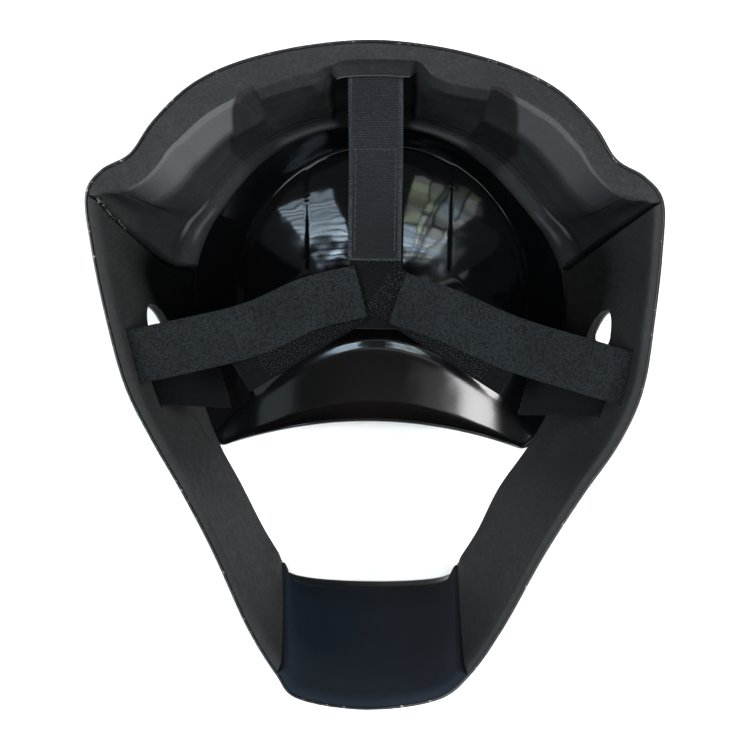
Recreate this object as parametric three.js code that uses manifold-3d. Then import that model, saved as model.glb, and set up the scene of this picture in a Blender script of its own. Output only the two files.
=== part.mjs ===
// A catcher's mask lying on its face, seen from the wearer's side.
// Millimetres, +Z up. The crown points to +Y, the wearer's right is +X and the face is at Z = 0.
// Pieces: an outer skin, a forehead pad, two side pads, a chin pad, a hard forehead cap,
// and a harness of one three-armed pad and three straps that thread the walls.

import * as THREE from 'three';
import Module from 'manifold-3d';
import { mergeVertices } from 'three/addons/utils/BufferGeometryUtils.js';

const wasm = await Module();
wasm.setup();

// Driving dimensions
const SKIN = 1.2;
const GAP = 0.35;
const CAP_WALL = 2;
const SIDE_FOAM = 3.2;
const CHIN_FOAM = 4.5;
const STRAP_WIDTH = 25.5;
const STRAP_THICK = 1.2;
const PAD_THICK = 1.8;
const SLIT_LENGTH = 28;
const SLIT_WIDTH = 3.4;
const RIM_INWARD = 0.25;
const PAD_FRONT = 0.97;
const RIM_STEP = 0.3;
const REAR_ROUND = { start: 0.55, growth: 4, setBack: 0.012 };
const FRAME_STEP = 0.02;
const MERGE_DISTANCE = 1e-4;

// One row for each section of the wall, from the crown down one side to the chin.
// rimX, rimY, rimZ: rear rim of the skin. edgeX, edgeY, edgeZ: front edge of the skin.
// rimLean, edgeLean: how far the soft wall stands to the wearer's right of the middle plane.
// turn: how far forward the wall runs before it turns in. lip: foam at the front edge.
const WALL = table(
  ['name', 'rimX', 'rimY', 'rimZ', 'rimLean', 'edgeX', 'edgeY', 'edgeZ', 'edgeLean', 'turn', 'lip'],
  [
    ['crown', 0, 158.2, 118, -3.5, 0, 135, 59, -3, 0.45, 8],
    ['crown_side', 32.1, 155, 118.5, -3.5, 21.8, 133.4, 59, -3, 0.45, 8],
    ['crown_turn', 61.4, 147.2, 119.5, -3.5, 41.5, 126, 58, -3, 0.45, 8],
    ['forehead', 83.1, 136.1, 121, -3, 58.2, 114.8, 56, -3, 0.45, 8],
    ['brow_top', 99.4, 119.6, 123, -2.8, 71.8, 101.5, 54, -2.5, 0.45, 8],
    ['notch', 109.1, 104.4, 125, -3, 82, 89, 52, -1.5, 0.45, 7.5],
    ['corner_top', 121.5, 96.5, 127, -3, 88, 76.5, 50.5, -0.5, 0.45, 6],
    ['corner_tip', 128.9, 85.3, 128, -2.2, 93.5, 59, 48, 0.5, 0.45, 4.6],
    ['temple', 128, 63.9, 126, -1, 95, 37, 44.5, 1, 0.45, 3.2],
    ['ear', 124, 33.5, 122, 0.8, 94.6, 15.6, 41, 1, 0.45, 3.2],
    ['cheek', 118.2, 1.1, 115, 3, 90.4, -8.2, 38.5, 0, 0.45, 3.2],
    ['brow_end', 108.1, -23.8, 107, 3.9, 79.7, -32, 35.5, -2, 0.45, 3.2],
    ['jaw_top', 93.6, -49.4, 98, 2.8, 67.2, -53.1, 30.5, -3.5, 0.45, 3.2],
    ['jaw', 78.3, -78.6, 89, 1.6, 58.1, -73, 24, -3, 0.5, 3.2],
    ['jaw_low', 62, -114.7, 78, 0.3, 51.7, -85.6, 14, -2.8, 0.6, 3.4],
    ['chin_seam', 47.4, -139.5, 70, -0.5, 51.5, -91, 5, -2.8, 0.75, 4.2],
    ['chin_side', 33.8, -152.9, 65, -3, 39.5, -101.5, 0, -2.8, 0.95, 4.5],
    ['chin', 0, -158.5, 62, -3.5, 0, -104.5, 0, -2.5, 1, 4.5],
  ],
);
const CHIN_AT = WALL.length - 1;
const CORNER_AT = rowOf('corner_tip');
const BROW_AT = rowOf('brow_end');
const SEAM_AT = rowOf('chin_seam');
const SEAM_GAP = 0.02;
const DEPTHS = [0, 0.12, 0.26, 0.42, 0.6, 0.8, PAD_FRONT, 1];

// Facets of the forehead foam. at: place along the wall's rows. flange: flat rear face there.
const FOREHEAD = table(
  ['at', 'flange'],
  [
    [0, 7.8],
    [0.6, 7.8],
    [0.87, 11],
    [1.4, 11.6],
    [1.88, 12.4],
    [2.35, 13.8],
    [3, 12.8],
    [3.8, 12.3],
    [4.6, 12.6],
    [5.2, 13],
    [5.8, 11],
    [6.4, 7.5],
    [CORNER_AT - SEAM_GAP, 3.6],
  ],
);
const SIDE_STEPS = 20;
const CHIN_STEPS = 6;
// Places of all sections from the crown to the chin, the same for the skin and the foam under it.
const PLACES = [
  ...FOREHEAD.map((row) => row.at),
  ...spread(CORNER_AT + SEAM_GAP, SEAM_AT - SEAM_GAP, SIDE_STEPS),
  ...spread(SEAM_AT + SEAM_GAP, CHIN_AT, CHIN_STEPS),
];
// Swell of the forehead foam between its rear crease and its front lip.
const FOREHEAD_SWELL = table(
  ['along', 'swell'],
  [
    [0, 0],
    [0.15, 0.4],
    [0.3, 0.3],
    [0.5, 0.5],
    [0.68, 2],
    [0.84, 1.8],
    [1, 0],
  ],
);

// Hard cap: a flat on its front, a dome round it, and a band along the brow.
const CAP = { middleY: 44, flatRadius: 12, domeFlatness: 0.5, browMiddleY: -18, browMiddleZ: 10 };
const CAP_BAND = { step: 2.5, middleCrease: 0.2, endCrease: 0.73, bow: 3, rise: 0.12 };
const CAP_RINGS = [1, 0.93, 0.86, 0.76, 0.64, 0.5, 0.34, 0.17, 0];
const CAP_RIM_STEPS = { upper: 44, brow: 16 };

// Straps and their slits. first, second: places along the wall, with their depths.
// foam: how much foam the slits go through. The second slit lies nearer to the face.
const STRAPS = table(
  ['name', 'first', 'firstDepth', 'second', 'secondDepth', 'foam'],
  [
    ['top_strap', 0.04, 0.25, 0.04, 0.64, 11],
    ['left_strap', -9.6, 0.14, -9.9, 0.34, SIDE_FOAM],
    ['right_strap', 9.8, 0.15, 9.96, 0.37, SIDE_FOAM],
  ],
);
// Middle line of each strap from its free end to its slit, and the tail's free end.
const STRAP_LINES = {
  top_strap: {
    line: [[-2, 61], [-1.9, 84], [-1.8, 108]],
    tail: [-1.6, 112, 84],
  },
  left_strap: {
    line: [[-8.5, 46.1], [-30.8, 40.4], [-58.7, 27.3], [-86.7, 19.5]],
    tail: [-73.6, 1.8, 80],
  },
  right_strap: {
    line: [[9.7, 43], [33.8, 34.7], [60.2, 22.8], [92, 12.8]],
    tail: [71.2, 0.2, 80],
  },
};
// A strap's way through a slit: how far it runs on inside and outside before it bends.
const SLIT_RUN = { inside: 2.4, bend: 0.6, outside: 1.9, turns: [0.18, 0.5, 0.82] };
const TAIL = { middle: 0.45, arch: 2 };
const STRAP_LIFT = 0.8;
const STRAP_STEPS = 4;

// Harness pad: three arms that leave one hub, which sags between the slits.
const HARNESS = { x: -1, y: 50, z: 84, hubRadius: 18, rise: 0.24 };
const ARMS = table(
  ['name', 'turn', 'length', 'pastHub'],
  [
    ['top', 90, 56, 21.5],
    ['left', 212.5, 77, 11],
    ['right', -32.5, 77, 5],
  ],
);

// Ear hole: a leaf with its point towards the crown.
const EAR = { at: 8.8, depth: 0.6, height: 19, width: 22 };
// The leaf's outline as shares of its half height and half width, starting at its point.
const LEAF_POINT = { x: 1, y: -0.6 };
const LEAF = table(
  ['bendX', 'bendY', 'x', 'y'],
  [
    [0.9, 0.4, -0.5, 1],
    [-1, 1, -1, 0.2],
    [-1, -1, -0.3, -1],
    [0.7, -1, LEAF_POINT.x, LEAF_POINT.y],
  ],
);
const CUTTER_REACH = 40;

// Middle of the whole outline, which the part's origin lies under.
const OUTLINE_MIDDLE = { x: -2.1, y: -0.15 };

/** Makes one object for each row, with the columns as its fields. */
function table(columns, rows) {
  return rows.map((row) => Object.fromEntries(columns.map((column, index) => [column, row[index]])));
}

function rowOf(name) {
  return WALL.findIndex((row) => row.name === name);
}

/** Smooth value of a wall column; odd columns change sign across the middle plane. */
function wallValue(column, at, odd = false) {
  const pick = (index) => {
    if (index < 0) return (odd ? -1 : 1) * WALL[-index][column];
    if (index > CHIN_AT) return (odd ? -1 : 1) * WALL[2 * CHIN_AT - index][column];
    return WALL[index][column];
  };
  const start = Math.min(Math.floor(at), CHIN_AT - 1);
  const f = at - start;
  const [a, b, c, d] = [pick(start - 1), pick(start), pick(start + 1), pick(start + 2)];
  return b + 0.5 * f * (c - a + f * (2 * a - 5 * b + 4 * c - d + f * (3 * (b - c) + d - a)));
}

/** Straight-line value of a short table at a place between its rows. */
function rowValue(rows, key, column, at) {
  const last = rows.length - 1;
  const index = Math.min(last - 1, Math.max(0, rows.findIndex((row) => row[key] > at) - 1));
  const from = rows[at >= rows[last][key] ? last - 1 : index];
  const to = rows[rows.indexOf(from) + 1];
  const share = THREE.MathUtils.clamp((at - from[key]) / (to[key] - from[key]), 0, 1);
  return THREE.MathUtils.lerp(from[column], to[column], share);
}

/** Rear rim or front edge of the skin; place runs from the chin by the left side to the chin. */
function wallPoint(kind, place) {
  const at = Math.min(Math.abs(place), CHIN_AT);
  const side = place < 0 ? -1 : 1;
  return new THREE.Vector3(
    side * wallValue(kind + 'X', at, true) + wallValue(kind + 'Lean', at),
    wallValue(kind + 'Y', at),
    wallValue(kind + 'Z', at),
  );
}

/** Outer face of the skin. depth is 0 at the rear rim and 1 at the front edge. */
function wall(place, depth) {
  const rim = wallPoint('rim', place);
  const edge = wallPoint('edge', place);
  const turn = wallValue('turn', Math.min(Math.abs(place), CHIN_AT));
  const bend = new THREE.Vector3(
    THREE.MathUtils.lerp(rim.x, edge.x, RIM_INWARD),
    THREE.MathUtils.lerp(rim.y, edge.y, RIM_INWARD),
    THREE.MathUtils.lerp(rim.z, edge.z, turn),
  );
  const point = new THREE.QuadraticBezierCurve3(rim, bend, edge).getPoint(depth);
  point.z = Math.max(point.z, 0);
  return point;
}

/** Directions on the wall: along the rim, forward, and out of the mask. */
function wallFrame(place, depth) {
  const along = wall(wrap(place + FRAME_STEP), depth).sub(wall(wrap(place - FRAME_STEP), depth)).normalize();
  const nearer = wall(place, Math.max(0, depth - FRAME_STEP));
  const forward = wall(place, Math.min(1, depth + FRAME_STEP)).sub(nearer);
  const out = new THREE.Vector3().crossVectors(along, forward).normalize();
  return { along, forward: new THREE.Vector3().crossVectors(out, along), out };
}

function wrap(place) {
  if (place > CHIN_AT) return place - 2 * CHIN_AT;
  if (place < -CHIN_AT) return place + 2 * CHIN_AT;
  return place;
}

/** A point under the skin's outer face. */
function under(place, depth, thickness) {
  return wall(place, depth).addScaledVector(wallFrame(place, depth).out, -thickness);
}

/** Places on the left side, from the chin up, then those on the right side, down to the chin. */
function mirrored(places) {
  return [...places.slice(1).reverse().map((place) => -place), ...places];
}

/** Evenly spread numbers from a to b. */
function spread(a, b, steps) {
  return Array.from({ length: steps + 1 }, (_, index) => a + ((b - a) * index) / steps);
}

function meshData(positions, faces) {
  const geometry = new THREE.BufferGeometry();
  const numbers = positions.flatMap((point) => point.toArray());
  geometry.setAttribute('position', new THREE.Float32BufferAttribute(numbers, 3));
  geometry.setIndex(faces.flat());
  return geometry;
}

/** Skin over closed sections: a ring when closed, else a bar with both ends covered. */
function loft(sections, closed = false) {
  const count = sections[0].length;
  const faces = [];
  const rings = closed ? sections.length : sections.length - 1;
  for (let i = 0; i < rings; i += 1) {
    const next = (i + 1) % sections.length;
    for (let j = 0; j < count; j += 1) {
      const k = (j + 1) % count;
      const [a, b, c, d] = [i * count + j, i * count + k, next * count + k, next * count + j];
      if (j < count / 2) faces.push([a, c, b], [a, d, c]);
      else faces.push([a, d, b], [b, d, c]);
    }
  }
  if (!closed) {
    const lastStart = (sections.length - 1) * count;
    for (const [low, high] of sectionFaces(count)) {
      faces.push([low, high[0], high[1]], [lastStart + low, lastStart + high[1], lastStart + high[0]]);
    }
  }
  return meshData(sections.flat(), faces);
}

/** Triangles across a section whose first half faces its second half, as a ladder. */
function sectionFaces(count) {
  const rungs = [];
  for (let low = 0, high = count - 1; high - low > 1; ) {
    rungs.push([low, [low + 1, high]]);
    low += 1;
    if (high - low > 1) {
      rungs.push([low, [high - 1, high]]);
      high -= 1;
    }
  }
  return rungs;
}

/** Turns a three.js geometry into a solid for joining and cutting. */
function solid(geometry) {
  const plain = geometry.clone();
  plain.deleteAttribute('normal');
  plain.deleteAttribute('uv');
  const merged = mergeVertices(plain, MERGE_DISTANCE);
  return new wasm.Manifold(
    new wasm.Mesh({
      numProp: 3,
      vertProperties: new Float32Array(merged.attributes.position.array),
      triVerts: new Uint32Array(merged.index.array),
    }),
  );
}

function geometryOf(body) {
  const data = body.getMesh();
  const geometry = new THREE.BufferGeometry();
  geometry.setAttribute('position', new THREE.BufferAttribute(new Float32Array(data.vertProperties), 3));
  geometry.setIndex(new THREE.BufferAttribute(new Uint32Array(data.triVerts), 1));
  return geometry;
}

/** Cutter that stands on the wall, its X along the rim, its Y forward and its Z outwards. */
function placeCutter(geometry, place, depth) {
  const { along, forward, out } = wallFrame(place, depth);
  const basis = new THREE.Matrix4().makeBasis(along, forward, out);
  basis.setPosition(wall(place, depth));
  return solid(geometry.applyMatrix4(basis));
}

function slitCutter(place, depth) {
  return placeCutter(new THREE.BoxGeometry(SLIT_LENGTH, SLIT_WIDTH, CUTTER_REACH), place, depth);
}

function earCutter(side) {
  const halfHeight = (-side * EAR.height) / 2;
  const halfWidth = EAR.width / 2;
  const leaf = new THREE.Shape();
  leaf.moveTo(LEAF_POINT.x * halfHeight, LEAF_POINT.y * halfWidth);
  for (const { bendX, bendY, x, y } of LEAF) {
    leaf.quadraticCurveTo(bendX * halfHeight, bendY * halfWidth, x * halfHeight, y * halfWidth);
  }
  const geometry = new THREE.ExtrudeGeometry(leaf, {
    depth: CUTTER_REACH,
    bevelEnabled: false,
    curveSegments: 5,
  });
  return placeCutter(geometry.translate(0, 0, -CUTTER_REACH / 2), side * EAR.at, EAR.depth);
}

const slits = STRAPS.flatMap(({ first, firstDepth, second, secondDepth }) => [
  slitCutter(first, firstDepth),
  slitCutter(second, secondDepth),
]);
const earHoles = [earCutter(-1), earCutter(1)];

function cut(geometry, cutters) {
  return geometryOf(cutters.reduce((body, cutter) => body.subtract(cutter), solid(geometry)));
}

/** Outer skin: one closed band from the rear rim to the front edge, slit and holed. */
function outerSkin() {
  const sections = mirrored(PLACES).slice(1).map((place) => [
    ...DEPTHS.map((depth) => wall(place, depth)),
    ...DEPTHS.map((depth) => under(place, depth, SKIN)).reverse(),
  ]);
  return cut(loft(sections, true), [...slits, ...earHoles]);
}

/** Section of the forehead foam: outside, front lip, swelling inside and flat rear face. */
function foreheadSection(place) {
  const at = Math.abs(place);
  const flange = rowValue(FOREHEAD, 'at', 'flange', at);
  const lip = wallValue('lip', at);
  const rear = wallPoint('rim', place).z - RIM_STEP;
  const outside = DEPTHS.slice(0, -1).map((depth) => under(place, depth, SKIN + GAP));
  const inside = FOREHEAD_SWELL.map(({ along, swell }) => {
    const thickness = SKIN + GAP + THREE.MathUtils.lerp(flange, lip, along) + swell;
    const point = under(place, along * PAD_FRONT, thickness);
    return point.setZ(Math.min(point.z, rear));
  });
  outside[0].z = rear;
  return [...outside, ...inside.reverse()];
}

function foreheadPad() {
  const places = mirrored(FOREHEAD.map((row) => row.at));
  return cut(loft(places.map(foreheadSection)), slits.slice(0, 2));
}

/** Section of the thin foam of a side or of the chin, with a rounded rear edge. */
function thinSection(place, foam) {
  const backing = SKIN + GAP;
  const depths = DEPTHS.slice(0, -1);
  const outside = depths.map((depth) => under(place, depth, backing));
  const inside = depths.map((depth) => {
    const round = Math.min(1, REAR_ROUND.start + depth * REAR_ROUND.growth);
    return under(place, Math.max(depth, REAR_ROUND.setBack), backing + foam(depth, place) * round);
  });
  outside[0].z -= RIM_STEP;
  return [...outside, ...inside.reverse()];
}

function sideFoam(depth, place) {
  return THREE.MathUtils.lerp(SIDE_FOAM, wallValue('lip', Math.abs(place)), depth * depth);
}

function sidePad(side) {
  const places = PLACES.filter((at) => at > CORNER_AT && at < SEAM_AT).map((at) => side * at);
  const ordered = side < 0 ? places.reverse() : places;
  const own = side < 0 ? [slits[2], slits[3], earHoles[0]] : [slits[4], slits[5], earHoles[1]];
  return cut(loft(ordered.map((place) => thinSection(place, sideFoam))), own);
}

function chinPad() {
  const right = PLACES.filter((at) => at > SEAM_AT);
  const places = [...right, ...right.slice(0, -1).reverse().map((at) => -at)];
  return loft(places.map((place) => thinSection(place, () => CHIN_FOAM)));
}

/** Rim of the cap: along the skin's front edge, then back along the brow's lower edge. */
function capRim() {
  const upper = spread(-BROW_AT, BROW_AT, CAP_RIM_STEPS.upper).map((place) => {
    const { forward, out } = wallFrame(place, 1);
    return { point: wall(place, 1).addScaledVector(forward, GAP), out, onBrow: false };
  });
  const from = upper[upper.length - 1].point;
  const to = upper[0].point;
  const lower = spread(0, 1, CAP_RIM_STEPS.brow).slice(1, -1).map((share) => {
    const across = 2 * share - 1;
    const bow = 1 - across * across;
    const point = from.clone().lerp(to, share);
    point.y = THREE.MathUtils.lerp(point.y, CAP.browMiddleY, bow);
    point.z = THREE.MathUtils.lerp(point.z, CAP.browMiddleZ, bow);
    return { point, out: null, onBrow: true, across: Math.abs(across) };
  });
  return [...upper, ...lower];
}

/** Outer face of the cap on one ray, from its rim (1) to the edge of its flat (0). */
function capPoint(ray, ring) {
  const { point, onBrow } = ray;
  const middle = new THREE.Vector3(0, CAP.middleY, 0);
  const below = point.clone().setZ(0);
  const flat = below.clone().sub(middle).setLength(CAP.flatRadius).add(middle);
  const knee = flat.clone().lerp(below, CAP.domeFlatness);
  const place = new THREE.QuadraticBezierCurve3(flat, knee, point).getPoint(ring);
  if (!onBrow) return place;
  const crease = THREE.MathUtils.lerp(CAP_BAND.middleCrease, CAP_BAND.endCrease, ray.across ** CAP_BAND.bow);
  const rise = THREE.MathUtils.smoothstep(ring, crease - CAP_BAND.rise, crease) * (1 - ring) * CAP_BAND.step;
  place.z = Math.max(0, place.z - rise);
  return place;
}

/** Hard cap: a dome of even wall, open to the rear. */
function foreheadCap() {
  const rays = capRim();
  const outer = CAP_RINGS.map((ring) => rays.map((ray) => capPoint(ray, ring)));
  const inner = CAP_RINGS.map((_, ring) => rays.map((ray, index) => innerCapPoint(outer, ring, index, ray)));
  const count = rays.length;
  const layers = [...outer.slice().reverse(), ...inner];
  const positions = [...layers.flat(), new THREE.Vector3(0, CAP.middleY, 0)];
  positions.push(new THREE.Vector3(0, CAP.middleY, CAP_WALL));
  const faces = [];
  for (let layer = 0; layer < layers.length - 1; layer += 1) {
    for (let ray = 0; ray < count; ray += 1) {
      const next = (ray + 1) % count;
      const [a, b] = [layer * count + ray, layer * count + next];
      const [c, d] = [(layer + 1) * count + next, (layer + 1) * count + ray];
      faces.push([a, c, b], [a, d, c]);
    }
  }
  const front = positions.length - 2;
  const lastLayer = (layers.length - 1) * count;
  for (let ray = 0; ray < count; ray += 1) {
    const next = (ray + 1) % count;
    faces.push([front, ray, next], [front + 1, lastLayer + next, lastLayer + ray]);
  }
  return meshData(positions, faces);
}

/** Inner face of the cap, one wall behind the outer face along its normal. */
function innerCapPoint(outer, ring, ray, { out }) {
  const rings = outer.length;
  const count = outer[0].length;
  const point = outer[ring][ray];
  if (ring === rings - 1) return point.clone().setZ(CAP_WALL);
  if (ring === 0 && out) return point.clone().addScaledVector(out, -CAP_WALL);
  const across = outer[ring][(ray + 1) % count].clone().sub(outer[ring][(ray + count - 1) % count]);
  const inwards = outer[Math.min(rings - 1, ring + 1)][ray].clone().sub(outer[Math.max(0, ring - 1)][ray]);
  const normal = new THREE.Vector3().crossVectors(across, inwards).normalize();
  return point.clone().addScaledVector(normal, -CAP_WALL);
}

/** Height of the sagging harness at a place in plan. */
function harnessZ(x, y) {
  const away = Math.hypot(x - HARNESS.x, y - HARNESS.y);
  return HARNESS.z + HARNESS.rise * Math.max(0, away - HARNESS.hubRadius);
}

/** Flat band along a middle line; across gives the direction of its width at each point. */
function band(points, across, width, thick) {
  const sections = points.map((point, index) => {
    const before = points[Math.max(0, index - 1)];
    const after = points[Math.min(points.length - 1, index + 1)];
    const tangent = after.clone().sub(before).normalize();
    const wide = across[index];
    const up = new THREE.Vector3().crossVectors(wide, tangent).normalize();
    const corner = (w, t) =>
      point.clone().addScaledVector(wide, (w * width) / 2).addScaledVector(up, (t * thick) / 2);
    return [corner(-1, -1), corner(1, -1), corner(1, 1), corner(-1, 1)];
  });
  return loft(sections);
}

/** Three flat arms joined at the hub. */
function harnessPad() {
  const arms = ARMS.map(({ turn, length, pastHub }) => {
    const angle = THREE.MathUtils.degToRad(turn);
    const along = new THREE.Vector3(Math.cos(angle), Math.sin(angle), 0);
    const across = new THREE.Vector3(-along.y, along.x, 0);
    const reaches = [-pastHub, HARNESS.hubRadius, (HARNESS.hubRadius + length) / 2, length];
    const points = reaches.map((reach) => {
      const x = HARNESS.x + along.x * reach;
      const y = HARNESS.y + along.y * reach;
      return new THREE.Vector3(x, y, harnessZ(x, y));
    });
    return solid(band(points, points.map(() => across), STRAP_WIDTH, PAD_THICK));
  });
  return geometryOf(arms.reduce((body, arm) => body.add(arm)));
}

/** Strap: over the harness arm, out through the first slit, in through the second, to its tail. */
function strap({ name, first, firstDepth, second, secondDepth, foam: foamThick }) {
  const { line, tail } = STRAP_LINES[name];
  const lift = (PAD_THICK + STRAP_THICK) / 2 + STRAP_LIFT;
  const overArm = line.map(([x, y]) => new THREE.Vector3(x, y, harnessZ(x, y) + lift));
  const thickness = SKIN + GAP + foamThick;
  const levels = [thickness + SLIT_RUN.inside, thickness / 2, -SLIT_RUN.bend];
  const goingOut = levels.map((level) => under(first, firstDepth, level));
  const outside = SLIT_RUN.turns.map((share) => {
    const { lerp } = THREE.MathUtils;
    return under(lerp(first, second, share), lerp(firstDepth, secondDepth, share), -SLIT_RUN.outside);
  });
  const comingIn = levels.map((level) => under(second, secondDepth, level)).reverse();
  const tailEnd = new THREE.Vector3(...tail);
  const tailMiddle = comingIn[comingIn.length - 1].clone().lerp(tailEnd, TAIL.middle);
  tailMiddle.z += TAIL.arch;
  const firstAlong = wallFrame(first, firstDepth).along;
  const secondAlong = wallFrame(second, secondDepth).along;
  const knots = [...overArm, ...goingOut, ...outside, ...comingIn, tailMiddle, tailEnd];
  const across = [
    ...overArm.map((_, index) => levelAcross(overArm, index, firstAlong)),
    ...goingOut.map(() => firstAlong),
    ...SLIT_RUN.turns.map((share) => firstAlong.clone().lerp(secondAlong, share)),
    ...[...comingIn, tailMiddle, tailEnd].map(() => secondAlong),
  ];
  const curve = new THREE.CatmullRomCurve3(knots, false, 'centripetal');
  const acrossCurve = new THREE.CatmullRomCurve3(across, false, 'catmullrom', 0);
  const steps = spread(0, 1, STRAP_STEPS * (knots.length - 1));
  const points = steps.map((step) => curve.getPoint(step));
  return band(points, steps.map((step) => acrossCurve.getPoint(step).normalize()), STRAP_WIDTH, STRAP_THICK);
}

/** Level direction across a strap's middle line, pointing the same way as its slits. */
function levelAcross(line, index, alongSlit) {
  const before = line[Math.max(0, index - 1)];
  const after = line[Math.min(line.length - 1, index + 1)];
  const level = new THREE.Vector3(before.y - after.y, after.x - before.x, 0).normalize();
  return level.dot(alongSlit) < 0 ? level.negate() : level;
}

const FOAM_FINISH = { roughness: 0.95, metalness: 0 };
const PIECES = [
  ['outer_skin', outerSkin, { color: 0x121315, roughness: 0.45, metalness: 0 }],
  ['forehead_pad', foreheadPad, { color: 0x34373a, ...FOAM_FINISH }],
  ['left_side_pad', () => sidePad(-1), { color: 0x36393b, ...FOAM_FINISH }],
  ['right_side_pad', () => sidePad(1), { color: 0x36393b, ...FOAM_FINISH }],
  ['chin_pad', chinPad, { color: 0x1b2129, ...FOAM_FINISH }],
  ['forehead_cap', foreheadCap, { color: 0x0b0c0e, roughness: 0.12, metalness: 0 }],
  ['harness_pad', harnessPad, { color: 0x1e2326, roughness: 1, metalness: 0 }],
  ...STRAPS.map((row) => [row.name, () => strap(row), { color: 0x272b2e, roughness: 1, metalness: 0 }]),
];

const mask = new THREE.Group();
mask.name = 'catcher_mask';
mask.position.set(-OUTLINE_MIDDLE.x, -OUTLINE_MIDDLE.y, 0);
for (const [name, make, finish] of PIECES) {
  const mesh = new THREE.Mesh(make(), new THREE.MeshStandardMaterial(finish));
  mesh.name = name;
  mask.add(mesh);
}

export default mask;
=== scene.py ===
"""Looks of a catcher's mask lying on its face: its meshes, finishes, light and camera.

A soft wall of thin skin is lined with foam, a hard glossy cap covers the forehead, and three
webbing straps meet on a hook pad behind the head. Lengths are in millimetres, in the frame of the
wall's own tables, until a mesh is made; meshes are in metres in the part's frame.
"""

import logging
import math
from dataclasses import dataclass
from enum import Enum
from typing import NamedTuple, Optional, Sequence, Union

import bmesh
import bpy
import numpy as np
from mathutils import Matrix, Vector


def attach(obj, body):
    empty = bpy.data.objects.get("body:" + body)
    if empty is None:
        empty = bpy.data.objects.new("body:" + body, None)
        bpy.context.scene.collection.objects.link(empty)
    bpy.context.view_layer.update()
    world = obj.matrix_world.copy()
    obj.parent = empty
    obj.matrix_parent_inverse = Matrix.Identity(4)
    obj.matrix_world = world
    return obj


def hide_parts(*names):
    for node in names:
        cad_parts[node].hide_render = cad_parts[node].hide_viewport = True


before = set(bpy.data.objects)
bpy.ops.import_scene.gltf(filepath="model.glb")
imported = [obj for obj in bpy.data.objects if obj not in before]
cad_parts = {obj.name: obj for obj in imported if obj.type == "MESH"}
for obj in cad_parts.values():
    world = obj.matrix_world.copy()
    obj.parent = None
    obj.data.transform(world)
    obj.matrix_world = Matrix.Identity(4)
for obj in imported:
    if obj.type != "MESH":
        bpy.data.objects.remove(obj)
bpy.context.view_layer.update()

Array = np.ndarray
Span = tuple[float, float]
Table = Sequence[Span]
Faces = list[tuple[int, ...]]
Triple = tuple[float, float, float]
Colour = Triple
Material, Mesh, Object = bpy.types.Material, bpy.types.Mesh, bpy.types.Object
Node, NodeTree, Socket = bpy.types.Node, bpy.types.NodeTree, bpy.types.NodeSocket

LOG = logging.getLogger("catcher_mask")

# Shared sizes, in millimetres
MM = 0.001
OUTLINE_MIDDLE = np.array([-2.1, -0.15, 0.0])
SKIN = 1.2
GAP = 0.35
BACKING = SKIN + GAP
PAD_FRONT = 0.97
RIM_STEP = 0.3
WALL_SPAN = 85
SIDE_FOAM = 3.2
CHIN_FOAM = 4.5
STRAP_WIDTH = 25.5
STRAP_THICK = 1.2
PAD_THICK = 1.8
BODY = "root"

# Angles in degrees past which an edge is shaded sharp
HARD_SHARP = 40
SMALL_SHARP = 50
SOFT_SHARP = 60
CAP_SHARP = 70


class Side(Enum):
    """A side of the mask, as the sign of X there."""

    LEFT = -1
    RIGHT = 1


class Scatter(Enum):
    """How a repeat is laid out."""

    AT_POINTS = "at points"
    OVER_SURFACE = "over surface"


class WallRow(NamedTuple):
    """One section of the wall, from its rear rim to its front edge."""

    name: str
    rim_x: float
    rim_y: float
    rim_z: float
    rim_lean: float
    edge_x: float
    edge_y: float
    edge_z: float
    edge_lean: float
    turn: float
    lip: float


WALL_ROWS = (
    WallRow("crown", 0, 158.2, 118, -3.5, 0, 135, 59, -3, 0.45, 8),
    WallRow("crown_side", 32.1, 155, 118.5, -3.5, 21.8, 133.4, 59, -3, 0.45, 8),
    WallRow("crown_turn", 61.4, 147.2, 119.5, -3.5, 41.5, 126, 58, -3, 0.45, 8),
    WallRow("forehead", 83.1, 136.1, 121, -3, 58.2, 114.8, 56, -3, 0.45, 8),
    WallRow("brow_top", 99.4, 119.6, 123, -2.8, 71.8, 101.5, 54, -2.5, 0.45, 8),
    WallRow("notch", 109.1, 104.4, 125, -3, 82, 89, 52, -1.5, 0.45, 7.5),
    WallRow("corner_top", 121.5, 96.5, 127, -3, 88, 76.5, 50.5, -0.5, 0.45, 6),
    WallRow("corner_tip", 128.9, 85.3, 128, -2.2, 93.5, 59, 48, 0.5, 0.45, 4.6),
    WallRow("temple", 128, 63.9, 126, -1, 95, 37, 44.5, 1, 0.45, 3.2),
    WallRow("ear", 124, 33.5, 122, 0.8, 94.6, 15.6, 41, 1, 0.45, 3.2),
    WallRow("cheek", 118.2, 1.1, 115, 3, 90.4, -8.2, 38.5, 0, 0.45, 3.2),
    WallRow("brow_end", 108.1, -23.8, 107, 3.9, 79.7, -32, 35.5, -2, 0.45, 3.2),
    WallRow("jaw_top", 93.6, -49.4, 98, 2.8, 67.2, -53.1, 30.5, -3.5, 0.45, 3.2),
    WallRow("jaw", 78.3, -78.6, 89, 1.6, 58.1, -73, 24, -3, 0.5, 3.2),
    WallRow("jaw_low", 62, -114.7, 78, 0.3, 51.7, -85.6, 14, -2.8, 0.6, 3.4),
    WallRow("chin_seam", 47.4, -139.5, 70, -0.5, 51.5, -91, 5, -2.8, 0.75, 4.2),
    WallRow("chin_side", 33.8, -152.9, 65, -3, 39.5, -101.5, 0, -2.8, 0.95, 4.5),
    WallRow("chin", 0, -158.5, 62, -3.5, 0, -104.5, 0, -2.5, 1, 4.5),
)


def unit(vectors: Array) -> Array:
    """Vectors scaled to length one."""
    return vectors / np.linalg.norm(vectors, axis=-1, keepdims=True)


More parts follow.
